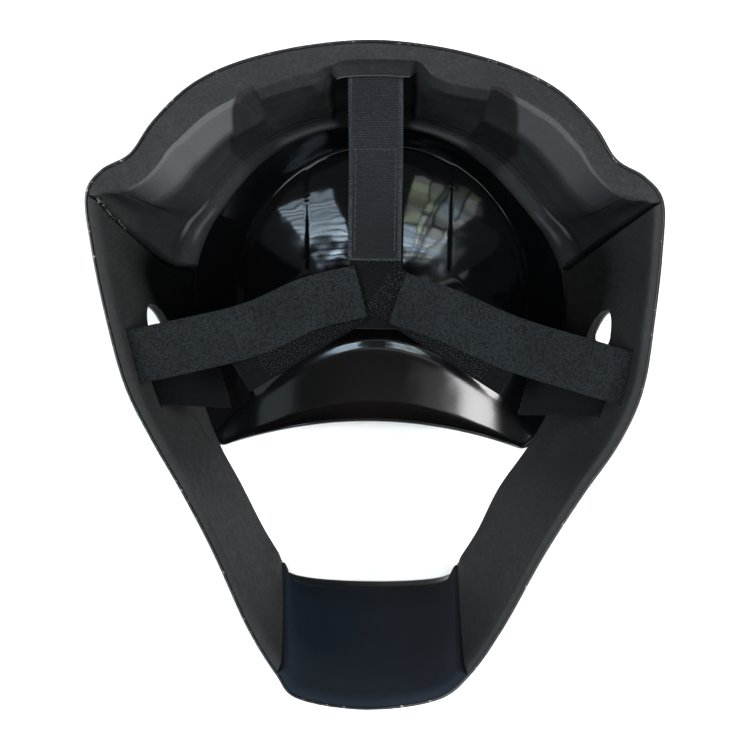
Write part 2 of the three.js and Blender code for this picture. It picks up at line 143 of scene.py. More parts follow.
def smooth_step(values: Array, low: float, high: float) -> Array:
    """Eases values from 0 at low to 1 at high."""
    share = np.clip((np.asarray(values, float) - low) / (high - low), 0, 1)
    return share * share * (3 - 2 * share)


def plateau(values: Array, rise: Span, fall: Span) -> Array:
    """Eases values from 0 to 1 over one range and back to 0 over another."""
    return smooth_step(values, *rise) * (1 - smooth_step(values, *fall))


def smooth_least(a: Array, b: Array, blend: float) -> Array:
    """The lesser of two values with the corner between them rounded over blend."""
    return -blend * np.logaddexp(-a / blend, -b / blend)


def bell(values: Array, width: float) -> Array:
    """1 where a value is 0, falling to nothing over a width to both sides."""
    return np.exp(-(values / width) ** 2)


def bent(start: Array, bend: Array, end: Array, t: Array) -> Array:
    """Points of a simple curve that leaves its start and meets its end towards a bend."""
    return (1 - t) ** 2 * start + 2 * t * (1 - t) * bend + t * t * end


def distances(line: Array) -> Array:
    """Distance of each point of a line from its first one, along the line."""
    return np.concatenate([[0], np.cumsum(np.linalg.norm(np.diff(line, axis=0), axis=-1))])


def flat_grid(along: Array, across: Array) -> Array:
    """Places on a flattened surface for sections at some distances, each with the same points across."""
    return np.stack([np.repeat(along, len(across)), np.tile(across, len(along))], axis=-1)


def eased(rows: Table, at: Array, window: float, samples: int = 9) -> Array:
    """Straight-line value of a short table with its corners rounded.

    Args:
        rows: Pairs of place and value.
        at: Places to read.
        window: Half of the span to average over.
        samples: How many values are averaged.

    Returns:
        One value for each place.
    """
    places, values = np.array(rows, float).T
    offsets = np.linspace(-window, window, samples)
    return np.mean([np.interp(at + offset, places, values) for offset in offsets], axis=0)


@dataclass(frozen=True)
class Wall:
    """The soft wall: sections from the crown (place 0) round both sides to the chin."""

    rows: tuple[WallRow, ...] = WALL_ROWS
    rim_inward: float = 0.25
    step: float = 0.02

    @property
    def last(self) -> int:
        """Place of the chin."""
        return len(self.rows) - 1

    def row(self, name: str) -> int:
        """Place of a named section."""
        return [row.name for row in self.rows].index(name)

    def value(self, column: str, place: Array, odd: bool = False) -> Array:
        """Smooth value of a column between the sections.

        Args:
            column: A field of WallRow.
            place: Places along the wall; the sign is left out.
            odd: Whether the column changes sign across the middle plane.

        Returns:
            One value for each place.
        """
        values = np.array([getattr(row, column) for row in self.rows], float)
        sign = -1.0 if odd else 1.0
        padded = np.concatenate([sign * values[1:2], values, sign * values[-2:-1]])
        at = np.clip(np.abs(place), 0, self.last)
        start = np.minimum(np.floor(at).astype(int), self.last - 1)
        f = at - start
        a, b, c, d = (padded[start + k] for k in range(4))
        return b + 0.5 * f * (c - a + f * (2 * a - 5 * b + 4 * c - d + f * (3 * (b - c) + d - a)))

    def border(self, kind: str, place: Array) -> Array:
        """Points of the rear rim or of the front edge; kind is rim or edge."""
        side = np.where(np.asarray(place) < 0, -1.0, 1.0)
        x = side * self.value(kind + "_x", place, odd=True) + self.value(kind + "_lean", place)
        return np.stack([x, self.value(kind + "_y", place), self.value(kind + "_z", place)], axis=-1)

    def face(self, place: Array, depth: Array) -> Array:
        """Points of the wall's outer face.

        Args:
            place: Places along the wall, less than 0 on the left side.
            depth: 0 at the rear rim, 1 at the front edge.

        Returns:
            Points, one for each pair of place and depth.
        """
        place, depth = np.broadcast_arrays(np.asarray(place, float), np.asarray(depth, float))
        rim = self.border("rim", place)
        edge = self.border("edge", place)
        turn = self.value("turn", place)
        inward = np.full_like(turn, self.rim_inward)
        bend = rim + (edge - rim) * np.stack([inward, inward, turn], axis=-1)
        points = bent(rim, bend, edge, depth[..., None])
        points[..., 2] = np.maximum(points[..., 2], 0)
        return points

    def wrap(self, place: Array) -> Array:
        """Places past the chin carried on to the other side."""
        return np.where(place > self.last, place - 2 * self.last,
                        np.where(place < -self.last, place + 2 * self.last, place))

    def directions(self, place: Array, depth: Array) -> tuple[Array, Array, Array]:
        """Directions on the wall.

        Args:
            place: Places along the wall.
            depth: 0 at the rear rim, 1 at the front edge.

        Returns:
            Unit vectors along the rim, forward and out of the mask.
        """
        place, depth = np.broadcast_arrays(np.asarray(place, float), np.asarray(depth, float))
        before = self.face(self.wrap(place - self.step), depth)
        along = unit(self.face(self.wrap(place + self.step), depth) - before)
        nearer = self.face(place, np.maximum(depth - self.step, 0))
        forward = self.face(place, np.minimum(depth + self.step, 1)) - nearer
        out = unit(np.cross(along, forward))
        return along, np.cross(out, along), out

    def under(self, place: Array, depth: Array, thickness: Array) -> Array:
        """Points below the wall's outer face by a thickness."""
        out = self.directions(place, depth)[2]
        thickness = np.broadcast_to(np.asarray(thickness, float), out.shape[:-1])
        return self.face(place, depth) - thickness[..., None] * out


WALL = Wall()
CORNER_AT = WALL.row("corner_tip")
BROW_AT = WALL.row("brow_end")
SEAM_AT = WALL.row("chin_seam")
SEAM_GAP = 0.02
SEAM_BOW = ((0, 0), (0.2, 0.24), (0.5, 0.37), (0.7, 0.44), (0.85, 0.3), (0.95, 0.05), (1, 0))
SEAM_BOW_REACH = 1.2
SEAM_BOW_WINDOW = 0.04


# Meshes


def bowed(place: Array, depth: Array) -> Array:
    """Places along the wall, moved near the left temple so that its seam bows towards the chin."""
    near = np.maximum(1 - np.abs(place + CORNER_AT) / SEAM_BOW_REACH, 0)
    return place - near * eased(SEAM_BOW, depth, SEAM_BOW_WINDOW)


def placed(points: Array) -> Array:
    """Points of the tables' frame in metres in the part's frame."""
    return (np.asarray(points, float).reshape(-1, 3) - OUTLINE_MIDDLE) * MM


def ring_faces(sections: int, count: int, closed: bool = False) -> Faces:
    """Faces between closed sections of count points each.

    Args:
        sections: How many sections there are.
        count: Points of a section.
        closed: Whether the last section joins the first.

    Returns:
        Vertex indices of each face.
    """
    faces: Faces = []
    for i in range(sections if closed else sections - 1):
        n = (i + 1) % sections
        for j in range(count):
            k = (j + 1) % count
            faces.append((i * count + j, i * count + k, n * count + k, n * count + j))
    return faces


def loft_faces(sections: int, count: int) -> Faces:
    """Faces between closed sections, with a face over each end."""
    ends = [tuple(reversed(range(count))), tuple(range((sections - 1) * count, sections * count))]
    return ring_faces(sections, count) + ends


def linked(name: str, data: bpy.types.ID) -> Object:
    """A new object in the scene, at the origin."""
    item = bpy.data.objects.new(name, data)
    bpy.context.scene.collection.objects.link(item)
    return item


def new_piece(
    name: str,
    points: Array,
    faces: Faces,
    material: Optional[Material],
    flat: Optional[Array] = None,
    marks: Optional[dict[str, Array]] = None,
    sharp: float = HARD_SHARP,
) -> Object:
    """Makes a mesh object at the origin with its faces turned outwards.

    Args:
        name: The piece's name.
        points: Points in the tables' frame.
        faces: Vertex indices of each face.
        material: The piece's finish.
        flat: Places on the flattened surface.
        marks: Numbers that the finish reads.
        sharp: Angle past which an edge is sharp.

    Returns:
        The object.
    """
    mesh = bpy.data.meshes.new(name)
    mesh.from_pydata(placed(points).tolist(), [], [tuple(map(int, face)) for face in faces])
    if flat is not None:
        corners = np.zeros(len(mesh.loops), int)
        mesh.loops.foreach_get("vertex_index", corners)
        layer = mesh.uv_layers.new(name="surface")
        layer.data.foreach_set("uv", (np.asarray(flat, float)[corners] * MM).ravel())
    for mark, values in (marks or {}).items():
        mesh.attributes.new(mark, "FLOAT", "POINT").data.foreach_set("value", np.asarray(values, float))
    face_outwards(mesh)
    finish_shading(mesh, sharp)
    if material:
        mesh.materials.append(material)
    return linked(name, mesh)


def face_outwards(mesh: Mesh) -> None:
    """Turns the faces of a closed mesh outwards."""
    build = bmesh.new()
    build.from_mesh(mesh)
    bmesh.ops.recalc_face_normals(build, faces=build.faces)
    if build.calc_volume(signed=True) < 0:
        bmesh.ops.reverse_faces(build, faces=build.faces)
    build.to_mesh(mesh)
    build.free()


def finish_shading(mesh: Mesh, sharp: float) -> None:
    """Smooth shading with sharp edges past an angle in degrees."""
    mesh.shade_smooth()
    mesh.set_sharp_from_angle(angle=math.radians(sharp))


def settle(piece: Object) -> None:
    """Turns a piece's modifiers into plain mesh."""
    graph = bpy.context.evaluated_depsgraph_get()
    graph.update()
    mesh = bpy.data.meshes.new_from_object(piece.evaluated_get(graph))
    old = piece.data
    piece.modifiers.clear()
    piece.data = mesh
    mesh.name = piece.name
    bpy.data.meshes.remove(old)


def carve(piece: Object, cutters: Sequence[Object], sharp: float = HARD_SHARP) -> None:
    """Cuts closed shapes out of a piece.

    Args:
        piece: What is cut.
        cutters: Closed shapes, which are removed afterwards.
        sharp: Angle in degrees past which an edge is shaded sharp.
    """
    for cutter in cutters:
        cut = piece.modifiers.new("cut", "BOOLEAN")
        cut.operation = "DIFFERENCE"
        cut.solver = "FAST"
        cut.object = cutter
    settle(piece)
    finish_shading(piece.data, sharp)
    discard(cutters)


def discard(pieces: Sequence[Object]) -> None:
    """Removes helper objects and their meshes."""
    for piece in pieces:
        mesh = piece.data
        bpy.data.objects.remove(piece)
        bpy.data.meshes.remove(mesh)


def joined(parts: Sequence[tuple[Array, Faces]]) -> tuple[Array, Faces]:
    """Several meshes as one list of points and one of faces."""
    points = [part.reshape(-1, 3) for part, _ in parts]
    starts = np.cumsum([0] + [len(part) for part in points])
    faces = [tuple(start + at for at in face) for start, (_, part) in zip(starts, parts) for face in part]
    return np.concatenate(points), faces


# Finishes


def feed(tree: NodeTree, value: object, socket: Socket) -> None:
    """Joins a socket to an input, or sets the input to a value."""
    if isinstance(value, Socket):
        tree.links.new(value, socket)
    else:
        socket.default_value = value


def add_node(tree: NodeTree, kind: str, **settings: object) -> Node:
    """Adds a node; settings are its properties, or inputs where the name has no such property."""
    node = tree.nodes.new(kind)
    for key, value in settings.items():
        if hasattr(node, key):
            setattr(node, key, value)
        else:
            feed(tree, value, node.inputs[key.replace("_", " ").title()])
    return node


def toned(colour: Colour, gain: float) -> Colour:
    """A colour made lighter or darker by a factor."""
    return tuple(gain * c for c in colour)


class Cloud(NamedTuple):
    """Noise on a finish: features for each metre, detail, the range that counts, and its most there."""

    scale: float
    detail: float
    low: float
    high: float
    most: float = 1


class Board:
    """A material's nodes, with short ways to add and join them."""

    def __init__(self, name: str) -> None:
        """Starts a material with a Principled shader."""
        self.material = bpy.data.materials.new(name)
        self.material.use_nodes = True
        self.tree = self.material.node_tree
        self.known: dict[object, Socket] = {}

    def add(self, kind: str, **settings: object) -> Node:
        """Adds a node to the material."""
        return add_node(self.tree, kind, **settings)

    def finish(self, **inputs: object) -> Material:
        """Feeds the shader's inputs, by their names in lower case, and returns the material."""
        shader = self.tree.nodes["Principled BSDF"]
        for key, value in inputs.items():
            feed(self.tree, value, shader.inputs[key.replace("_", " ").title().replace("Ior", "IOR")])
        return self.material

    def place(self, kind: str) -> Socket:
        """Coordinates on the piece: Object, or UV for the flattened surface."""
        if kind not in self.known:
            self.known[kind] = self.add("ShaderNodeTexCoord").outputs[kind]
        return self.known[kind]

    def mark(self, name: str) -> Socket:
        """A number stored on the mesh."""
        return self.add("ShaderNodeAttribute", attribute_name=name).outputs["Fac"]

    def noise(self, scale: float, detail: float) -> Socket:
        """Cloudy noise with features of 1 / scale metres."""
        key = (scale, detail)
        if key not in self.known:
            node = self.add("ShaderNodeTexNoise", vector=self.place("Object"), scale=scale, detail=detail)
            self.known[key] = node.outputs["Fac"]
        return self.known[key]

    def cloud(self, cloud: Cloud) -> Socket:
        """Noise held to the range that counts."""
        return self.span(self.noise(cloud.scale, cloud.detail), (cloud.low, cloud.high), (0, cloud.most))

    def cells(self, scale: float) -> Socket:
        """Distance to the nearest of scattered points."""
        return self.add("ShaderNodeTexVoronoi", vector=self.place("Object"), scale=scale).outputs["Distance"]

    def waves(self, scale: float, axis: str, distortion: float = 0) -> Socket:
        """Even bands across one axis of the flattened surface."""
        node = self.add("ShaderNodeTexWave", bands_direction=axis, vector=self.place("UV"), scale=scale,
                        distortion=distortion)
        return node.outputs["Fac"]

    def span(self, source: Socket, between: Span, to: Span = (0, 1)) -> Socket:
        """Maps a number from one range to another and holds it there."""
        node = self.add("ShaderNodeMapRange", value=source, from_min=between[0], from_max=between[1],
                        to_min=to[0], to_max=to[1])
        return node.outputs["Result"]

    def math(self, operation: str, a: Socket, b: object) -> Socket:
        """Arithmetic on a socket and a socket or number."""
        node = self.add("ShaderNodeMath", operation=operation)
        for value, socket in zip((a, b), node.inputs):
            feed(self.tree, value, socket)
        return node.outputs["Value"]

    def blend(self, factor: Socket, a: object, b: object) -> Socket:
        """Mixes two colours, each a socket or a colour; factor is 0 for the first and 1 for the second."""
        node = self.add("ShaderNodeMix", data_type="RGBA", factor=factor)
        colours = (socket for socket in node.inputs if socket.type == "RGBA")
        for value, socket in zip((a, b), colours):
            feed(self.tree, value if isinstance(value, Socket) else (*value, 1), socket)
        return next(socket for socket in node.outputs if socket.type == "RGBA")

    def bump(self, height: Socket, size: Span, below: Optional[Socket] = None) -> Socket:
        """Relief, over an earlier relief if there is one; its size is a depth in metres and a strength."""
        node = self.add("ShaderNodeBump", distance=size[0], strength=size[1])
        feed(self.tree, height, node.inputs["Height"])
        if below:
            feed(self.tree, below, node.inputs["Normal"])
        return node.outputs["Normal"]


@dataclass(frozen=True)
class FoamFinish:
    """Closed-cell foam: fine grain and faint clouds, with painted light and painted shade in places.

    In each finish, fields that end in _at are a range that counts, those that end in _gain tone a
    colour, and those that end in _relief are a depth in metres and a strength.
    """

    name: str
    dark: Colour
    light: Colour
    roughness: Span
    specular: float = 0.05
    clouds: Cloud = Cloud(26, 4, 0.35, 0.68)
    wear_and_shading: Cloud = Cloud(234, 3, 0.58, 0.8, 0.35)
    worn_gain: float = 1.5
    grain: Cloud = Cloud(800, 3, 0.3, 0.72, 0.62)
    grain_gain: float = 0.4
    grain_relief: Span = (0.00022, 0.55)
    mottle_at: Span = (0.3, 0.7)
    mottle_relief: Span = (0.0006, 0.3)
    cut_gain: float = 6
    # Gains of the painted light and the painted shade
    rubbed_gain: float = 2.6
    grime_gain: float = 0.05

    def build(self) -> Material:
        """Makes the material."""
        board = Board(self.name)
        colour = board.blend(board.cloud(self.clouds), self.dark, self.light)
        # The third layer darkens with painted shade, the fourth lightens with painted light and painted
        # highlights, and the fifth is the paler cut edge.
        layers = (
            (board.cloud(self.wear_and_shading), toned(self.light, self.worn_gain)),
            (board.cloud(self.grain), toned(self.dark, self.grain_gain)),
            (board.mark("grime"), toned(self.dark, self.grime_gain)),
            (board.mark("rubbed"), toned(self.light, self.rubbed_gain)),
            (board.mark("cut"), toned(self.light, self.cut_gain)),
        )
        for share, tone in layers:
            colour = board.blend(share, colour, tone)
        mottle, grain = (board.noise(cloud.scale, cloud.detail) for cloud in (self.wear_and_shading, self.grain))
        relief = board.bump(mottle, self.mottle_relief, board.bump(grain, self.grain_relief))
        return board.finish(base_color=colour, roughness=board.span(mottle, self.mottle_at, self.roughness),
                            normal=relief, specular_ior_level=self.specular)


@dataclass(frozen=True)
class KnitFinish:
    """Smooth knit over foam, with fine rows of loops and painted shade in places."""

    name: str
    dark: Colour
    light: Colour
    pitch: float = 0.9
    waviness: float = 0.6
    knit_relief: Span = (0.00025, 0.5)
    gaps: float = 0.3
    gap_gain: float = 0.5
    clouds: Cloud = Cloud(18, 3, 0.35, 0.7)
    grime_gain: float = 0.3
    fuzz: Span = (2200, 2)
    fuzz_relief: Span = (0.0002, 0.35)

    def build(self) -> Material:
        """Makes the material."""
        board = Board(self.name)
        per_metre = 2 / (self.pitch * MM * math.tau)
        rows, columns = (board.waves(per_metre, axis, self.waviness) for axis in ("Y", "X"))
        knit = board.math("MULTIPLY", rows, columns)
        unshaded = board.blend(board.cloud(self.clouds), self.dark, self.light)
        # Painted shade darkens the knit where the mark is set.
        base = board.blend(board.mark("grime"), unshaded, toned(self.dark, self.grime_gain))
        gaps = board.span(knit, (0, 1), (self.gaps, 0))
        relief = board.bump(board.noise(*self.fuzz), self.fuzz_relief, board.bump(knit, self.knit_relief))
        colour = board.blend(gaps, base, toned(self.dark, self.gap_gain))
        return board.finish(base_color=colour, normal=relief, roughness=0.78, specular_ior_level=0.06,
                            sheen_weight=0.01, sheen_roughness=0.5)


@dataclass(frozen=True)
class SkinFinish:
    """Black moulded skin, satin, with pale scuffs along its rim."""

    name: str
    base: Colour
    scuff: Colour
    specks: Cloud = Cloud(420, 3, 0.62, 0.72)
    clouds: Span = (60, 4)
    clouds_at: Span = (0.3, 0.7)
    cloud_relief: Span = (0.0008, 0.12)
    roughness: Span = (0.3, 0.45)
    fine: Span = (900, 2)
    fine_relief: Span = (0.00012, 0.35)

    def build(self) -> Material:
        """Makes the material."""
        board = Board(self.name)
        scuffs = board.math("MULTIPLY", board.cloud(self.specks), board.mark("rim"))
        clouds = board.noise(*self.clouds)
        fine = board.bump(board.noise(*self.fine), self.fine_relief)
        return board.finish(base_color=board.blend(scuffs, self.base, self.scuff),
                            roughness=board.span(clouds, self.clouds_at, self.roughness),
                            normal=board.bump(clouds, self.cloud_relief, fine), specular_ior_level=0.5)


@dataclass(frozen=True)
class GlossFinish:
    """Hard glossy plastic with a slight ripple, dust, a film that dulls it in places, and a painted brownish
    reflection along the brow band.
    """

    name: str
    base: Colour
    thin: Colour
    dust: Colour
    specks: Cloud = Cloud(700, 2, 0.7, 0.8, 0.35)
    ripple: Span = (38, 2)
    ripple_relief: Span = (0.0011, 0.34)
    film: Span = (16, 5)
    film_at: Span = (0.45, 0.75)
    roughness: Span = (0.045, 0.12)

    def build(self) -> Material:
        """Makes the material."""
        board = Board(self.name)
        # Painted reflection: the middle of the brow band takes the brownish tint that it would mirror.
        base = board.blend(board.mark("thin"), self.base, self.thin)
        film = board.span(board.noise(*self.film), self.film_at, self.roughness)
        return board.finish(base_color=board.blend(board.cloud(self.specks), base, self.dust),
                            roughness=board.math("ADD", film, board.mark("matt")),
                            normal=board.bump(board.noise(*self.ripple), self.ripple_relief), ior=1.53)


class Weave(Enum):
    """Face of a webbing."""

    RIBBED = "ribbed"
    LOOP = "loop"
    HOOK = "hook"


@dataclass(frozen=True)
class WebbingFinish:
    """Woven webbing: ribbed, or with a pile of loops, or the ground of hook tape."""

    name: str
    weave: Weave
    dark: Colour
    light: Colour
    rib_waves: float = 390
    warp_waves: float = 520
    rib_share: float = 0.6
    weave_relief: Span = (0.00025, 0.5)
    slubs: Cloud = Cloud(1100, 2, 0.3, 0.7, 0.85)
    stipple: float = 950
    stipple_at: Span = (0.1, 0.75)
    shade_at: Span = (0.25, 1.3)
    clouds: Cloud = Cloud(45, 3, 0.35, 0.7, 0.3)
    cloud_gain: float = 0.7
    fuzz: Span = (2600, 2)
    fuzz_relief: Span = (0.0002, 0.4)

    def height(self, board: Board) -> Socket:
        """Height of the weave or of the pile, from 0 to about 1."""
        if self.weave is Weave.RIBBED:
            ribs = board.math("MULTIPLY", board.waves(self.rib_waves, "X"), self.rib_share)
            warp = board.math("MULTIPLY", board.waves(self.warp_waves, "Y"), 1 - self.rib_share)
            return board.math("ADD", ribs, warp)
        stipple = board.span(board.cells(self.stipple), self.stipple_at, (1, 0))
        return board.math("ADD", stipple, board.noise(*self.fuzz))

    def build(self) -> Material:
        """Makes the material."""
        board = Board(self.name)
        height = self.height(board)
        colour = board.blend(board.span(height, self.shade_at), self.dark, self.light)
        if self.weave is Weave.RIBBED:
            colour = board.blend(board.cloud(self.slubs), colour, self.dark)
        colour = board.blend(board.cloud(self.clouds), colour, toned(self.dark, self.cloud_gain))
        if self.weave is Weave.LOOP:
            colour = board.blend(board.mark("back"), colour, self.dark)
        relief = board.bump(board.noise(*self.fuzz), self.fuzz_relief, board.bump(height, self.weave_relief))
        return board.finish(base_color=colour, normal=relief, roughness=0.92, specular_ior_level=0.05,
                            sheen_weight=0.02, sheen_roughness=0.4)


@dataclass(frozen=True)
class PlainFinish:
    """Thread, fibres, hooks, dried glue or floor: one colour with slight clouds."""

    name: str
    base: Colour
    roughness: float
    clouds: Cloud = Cloud(120, 2, 0.35, 0.65)
    variation: float = 0.25

    def build(self) -> Material:
        """Makes the material."""
        board = Board(self.name)
        colour = board.blend(board.cloud(self.clouds), toned(self.base, 1 - self.variation), self.base)
        return board.finish(base_color=colour, roughness=self.roughness)


FOAM = FoamFinish("grey_foam", (0.0198, 0.0217, 0.0227), (0.0295, 0.0314, 0.0324), (0.43, 0.57))
SIDE_FINISH = FoamFinish("side_foam", (0.0145, 0.0158, 0.0164), (0.0205, 0.0222, 0.0228), (0.55, 0.69))
CHIN_FINISH = KnitFinish("chin_knit", (0.0058, 0.0096, 0.015), (0.0095, 0.0142, 0.0212))
SKIN_FINISH = SkinFinish("black_skin", (0.004, 0.0042, 0.0048), (0.2, 0.2, 0.19))
# The second colour is a painted brownish reflection for the middle of the brow band.
CAP_FINISH = GlossFinish(
    "gloss_black", (0.0014, 0.0015, 0.0018), (0.0075, 0.0062, 0.0062), (0.015, 0.015, 0.015))
RIBBED = WebbingFinish("ribbed_webbing", Weave.RIBBED, (0.0068, 0.0083, 0.0096), (0.084, 0.097, 0.109))
LOOPED = WebbingFinish("loop_webbing", Weave.LOOP, (0.0022, 0.0031, 0.0037), (0.0124, 0.0158, 0.0178))
HOOKED = WebbingFinish("hook_tape", Weave.HOOK, (0.0006, 0.0009, 0.0011), (0.003, 0.0039, 0.0044))
THREAD = PlainFinish("thread", (0.008, 0.0096, 0.0112), 0.8)
FIBRE = PlainFinish("loose_fibre", (0.04, 0.045, 0.048), 0.8)
HOOKS = PlainFinish("hook_nylon", (0.02, 0.024, 0.026), 0.3)
GLUE = PlainFinish("dried_glue", (0.075, 0.071, 0.056), 0.18, Cloud(500, 2, 0.35, 0.65), 0.6)
FLOOR = PlainFinish("pale_floor", (0.9, 0.9, 0.9), 0.8, Cloud(3, 2, 0.35, 0.65), 0.01)


# Repeats by Geometry Nodes


@dataclass
class Repeat:
    """A small shape repeated at points or over a surface, as a node tree with named inputs."""

    name: str
    layout: Scatter
    spacing: float = 1.0
    least: float = 1.0
    most: float = 1.0
    seed: int = 1
    densest: float = 4e6

    def tree(self) -> tuple[NodeTree, dict[str, str]]:
        """Builds the node tree.

        Returns:
            The tree, and the identifier of each named input.
        """
        tree = bpy.data.node_groups.new(self.name, "GeometryNodeTree")
        tree.interface.new_socket("Geometry", in_out="OUTPUT", socket_type="NodeSocketGeometry")
        kinds = {"Geometry": "Geometry", "Shape": "Object", "Finish": "Material", "Spacing": "Float",
                 "Least": "Float", "Most": "Float", "Seed": "Int"}
        names = {
            name: tree.interface.new_socket(name, in_out="INPUT", socket_type="NodeSocket" + kind).identifier
            for name, kind in kinds.items()
        }
        given = {socket.name: socket for socket in add_node(tree, "NodeGroupInput").outputs}
        points, turn = self.points(tree, given)
        shape = add_node(tree, "GeometryNodeObjectInfo", object=given["Shape"])
        size = add_node(tree, "FunctionNodeRandomValue", data_type="FLOAT", seed=given["Seed"])
        floats = (socket for socket in size.inputs if socket.type == "VALUE")
        for name, socket in zip(("Least", "Most"), floats):
            feed(tree, given[name], socket)
        drawn = next(socket for socket in size.outputs if socket.type == "VALUE")
        spread = add_node(tree, "GeometryNodeInstanceOnPoints", points=points, rotation=turn, scale=drawn,
                          instance=shape.outputs["Geometry"])
        real = add_node(tree, "GeometryNodeRealizeInstances", geometry=spread.outputs["Instances"])
        dress = add_node(tree, "GeometryNodeSetMaterial", geometry=real.outputs["Geometry"],
                         material=given["Finish"])
        add_node(tree, "NodeGroupOutput", geometry=dress.outputs["Geometry"])
        return tree, names

    def points(self, tree: NodeTree, given: dict[str, Socket]) -> tuple[Socket, Socket]:
        """Adds the nodes that lay out the repeat.

        Args:
            tree: The node tree.
            given: Its named inputs.

        Returns:
            The points, and the rotation at each of them.
        """
        if self.layout is Scatter.OVER_SURFACE:
            over = add_node(tree, "GeometryNodeDistributePointsOnFaces", distribute_method="POISSON",
                            mesh=given["Geometry"], distance_min=given["Spacing"], density_max=self.densest,
                            seed=given["Seed"])
            return over.outputs["Points"], over.outputs["Rotation"]
        lay = add_node(tree, "GeometryNodeMeshToPoints", mesh=given["Geometry"])
        turned: dict[str, object] = {}
        for name, axis in (("up", "Z"), ("along", "X")):
            read = add_node(tree, "GeometryNodeInputNamedAttribute", data_type="FLOAT_VECTOR")
            feed(tree, name, read.inputs["Name"])
            turn = add_node(tree, "FunctionNodeAlignRotationToVector", axis=axis,
                            vector=read.outputs["Attribute"], **turned)
            turned = {"pivot_axis": "Z", "rotation": turn.outputs["Rotation"]}
        return lay.outputs["Points"], turned["rotation"]

    def make(self, base: Object, shape: Object, finish: Material
             ) -> Object:
        """Runs the tree on a base object and leaves a plain mesh there.

        Args:
            base: Points or a surface; it becomes the piece.
            shape: What is repeated; it is removed.
            finish: The repeat's material.

        Returns:
            The piece, named after the repeat.
        """
        tree, names = self.tree()
        base.name = self.name
        modifier = base.modifiers.new(self.name, "NODES")
        modifier.node_group = tree
        values = {"Shape": shape, "Finish": finish, "Spacing": self.spacing * MM, "Least": self.least,
                  "Most": self.most, "Seed": self.seed}
        for name, value in values.items():
            modifier[names[name]] = value
        settle(base)
        discard([shape])
        bpy.data.node_groups.remove(tree)
        finish_shading(base.data, SMALL_SHARP)
        return base


def directed_points(name: str, points: Array, along: Array, up: Array) -> Object:
    """Loose points that know which way the shape on them lies.

    Args:
        name: The object's name.
        points: Points in the tables' frame.
        along: Directions of the shape's X.
        up: Directions of the shape's Z.

    Returns:
        The object.
    """
    mesh = bpy.data.meshes.new(name)
    mesh.from_pydata(placed(points).tolist(), [], [])
    for mark, vectors in (("along", along), ("up", up)):
        attribute = mesh.attributes.new(mark, "FLOAT_VECTOR", "POINT")
        attribute.data.foreach_set("vector", np.asarray(vectors).ravel())
    return linked(name, mesh)


def small_shape(name: str, rings: Sequence[Triple], sides: int, axis: str = "X"
                ) -> Object:
    """A closed turned shape along X or Z for a repeat, at the origin.

    Args:
        name: The object's name.
        rings: Rows of place, half width and half height.
        sides: How many sides it has.
        axis: The axis that it lies along.

    Returns:
        The object.
    """
    angles = np.arange(sides) / sides * math.tau
    points = []
    for place, wide, high in rings:
        ring = np.stack([np.full(sides, place), wide * np.cos(angles), high * np.sin(angles)], axis=-1)
        points.append(ring if axis == "X" else ring[:, [1, 2, 0]])
    mesh = bpy.data.meshes.new(name)
    mesh.from_pydata((np.concatenate(points) * MM).tolist(), [], loft_faces(len(rings), sides))
    face_outwards(mesh)
    return linked(name, mesh)


def bar_shape(name: str, length: float, width: float, shoulder: float, sides: int) -> Object:
    """A short rounded bar along X, thin at both ends, such as a stitch or a bead.

    Args:
        name: The object's name.
        length: The bar's length.
        width: Its width.
        shoulder: Where it gets that width, as a share of the length.
        sides: How many sides it has.

    Returns:
        The object.
    """
    end, body = (0.2 * width, 0.15 * width), (0.5 * width, 0.4 * width)
    places = ((-0.5, end), (-shoulder, body), (shoulder, body), (0.5, end))
    return small_shape(name, [(place * length, *size) for place, size in places], sides)


# The soft wall


class Hole(NamedTuple):
    """A slit in the wall: its place, depth, length and width."""

    place: float
    depth: float
    length: float = 28
    width: float = 2.4


@dataclass(frozen=True)
class EarHole:
    """A leaf-shaped hole with its point towards the crown."""

    at: float = 8.8
    depth: float = 0.6
    height: float = 19
    width: float = 22
    point: Span = (1, -0.6)
    curves: tuple[tuple[float, float, float, float], ...] = (
        (0.9, 0.4, -0.5, 1), (-1, 1, -1, 0.2), (-1, -1, -0.3, -1), (0.7, -1, 1, -0.6))
    steps: int = 12

    def outline(self, side: Side) -> Array:
        """The leaf's outline, X along the rim and Y forward."""
        scale = np.array([-side.value * self.height / 2, self.width / 2])
        points = [np.array(self.point)]
        for bend_x, bend_y, x, y in self.curves:
            start, bend, end = points[-1], np.array([bend_x, bend_y]), np.array([x, y])
            points += [bent(start, bend, end, t) for t in np.linspace(0, 1, self.steps + 1)[1:]]
        return np.array(points[:-1]) * scale

    def cutter(self, side: Side) -> Object:
        """A prism through the wall of one side."""
        return wall_cutter(self.outline(side), side.value * self.at, self.depth)


def wall_cutter(outline: Array, place: float, depth: float, reach: float = 34) -> Object:
    """A prism through the wall.

    Args:
        outline: Its outline, X along the rim and Y forward.
        place: Its place along the wall.
        depth: Its depth from the rim.
        reach: Its length.

    Returns:
        A helper object.
    """
    along, forward, out = WALL.directions(place, depth)
    middle = WALL.face(place, depth)
    base = middle + outline[:, :1] * along + outline[:, 1:] * forward
    points = np.concatenate([base - out * reach / 2, base + out * reach / 2])
    return new_piece("cutter", points, loft_faces(2, len(outline)), None)


def slit_cutter(hole: Hole, end_points: int = 7) -> Object:
    """A prism with rounded ends for a strap's slit."""
    half, radius = hole.length / 2, hole.width / 2
    angles = np.linspace(-math.pi / 2, math.pi / 2, end_points)
    end = np.stack([half - radius + radius * np.cos(angles), radius * np.sin(angles)], axis=-1)
    return wall_cutter(np.concatenate([end, -end]), hole.place, hole.depth)


def round_growth(distance: Array, radius: float, least: float = 0.06) -> Array:
    """Share of the full thickness near an edge that is rounded over a radius."""
    near = np.clip(1 - np.asarray(distance) / radius, 0, 1)
    return np.maximum(least, np.sqrt(1 - near * near))


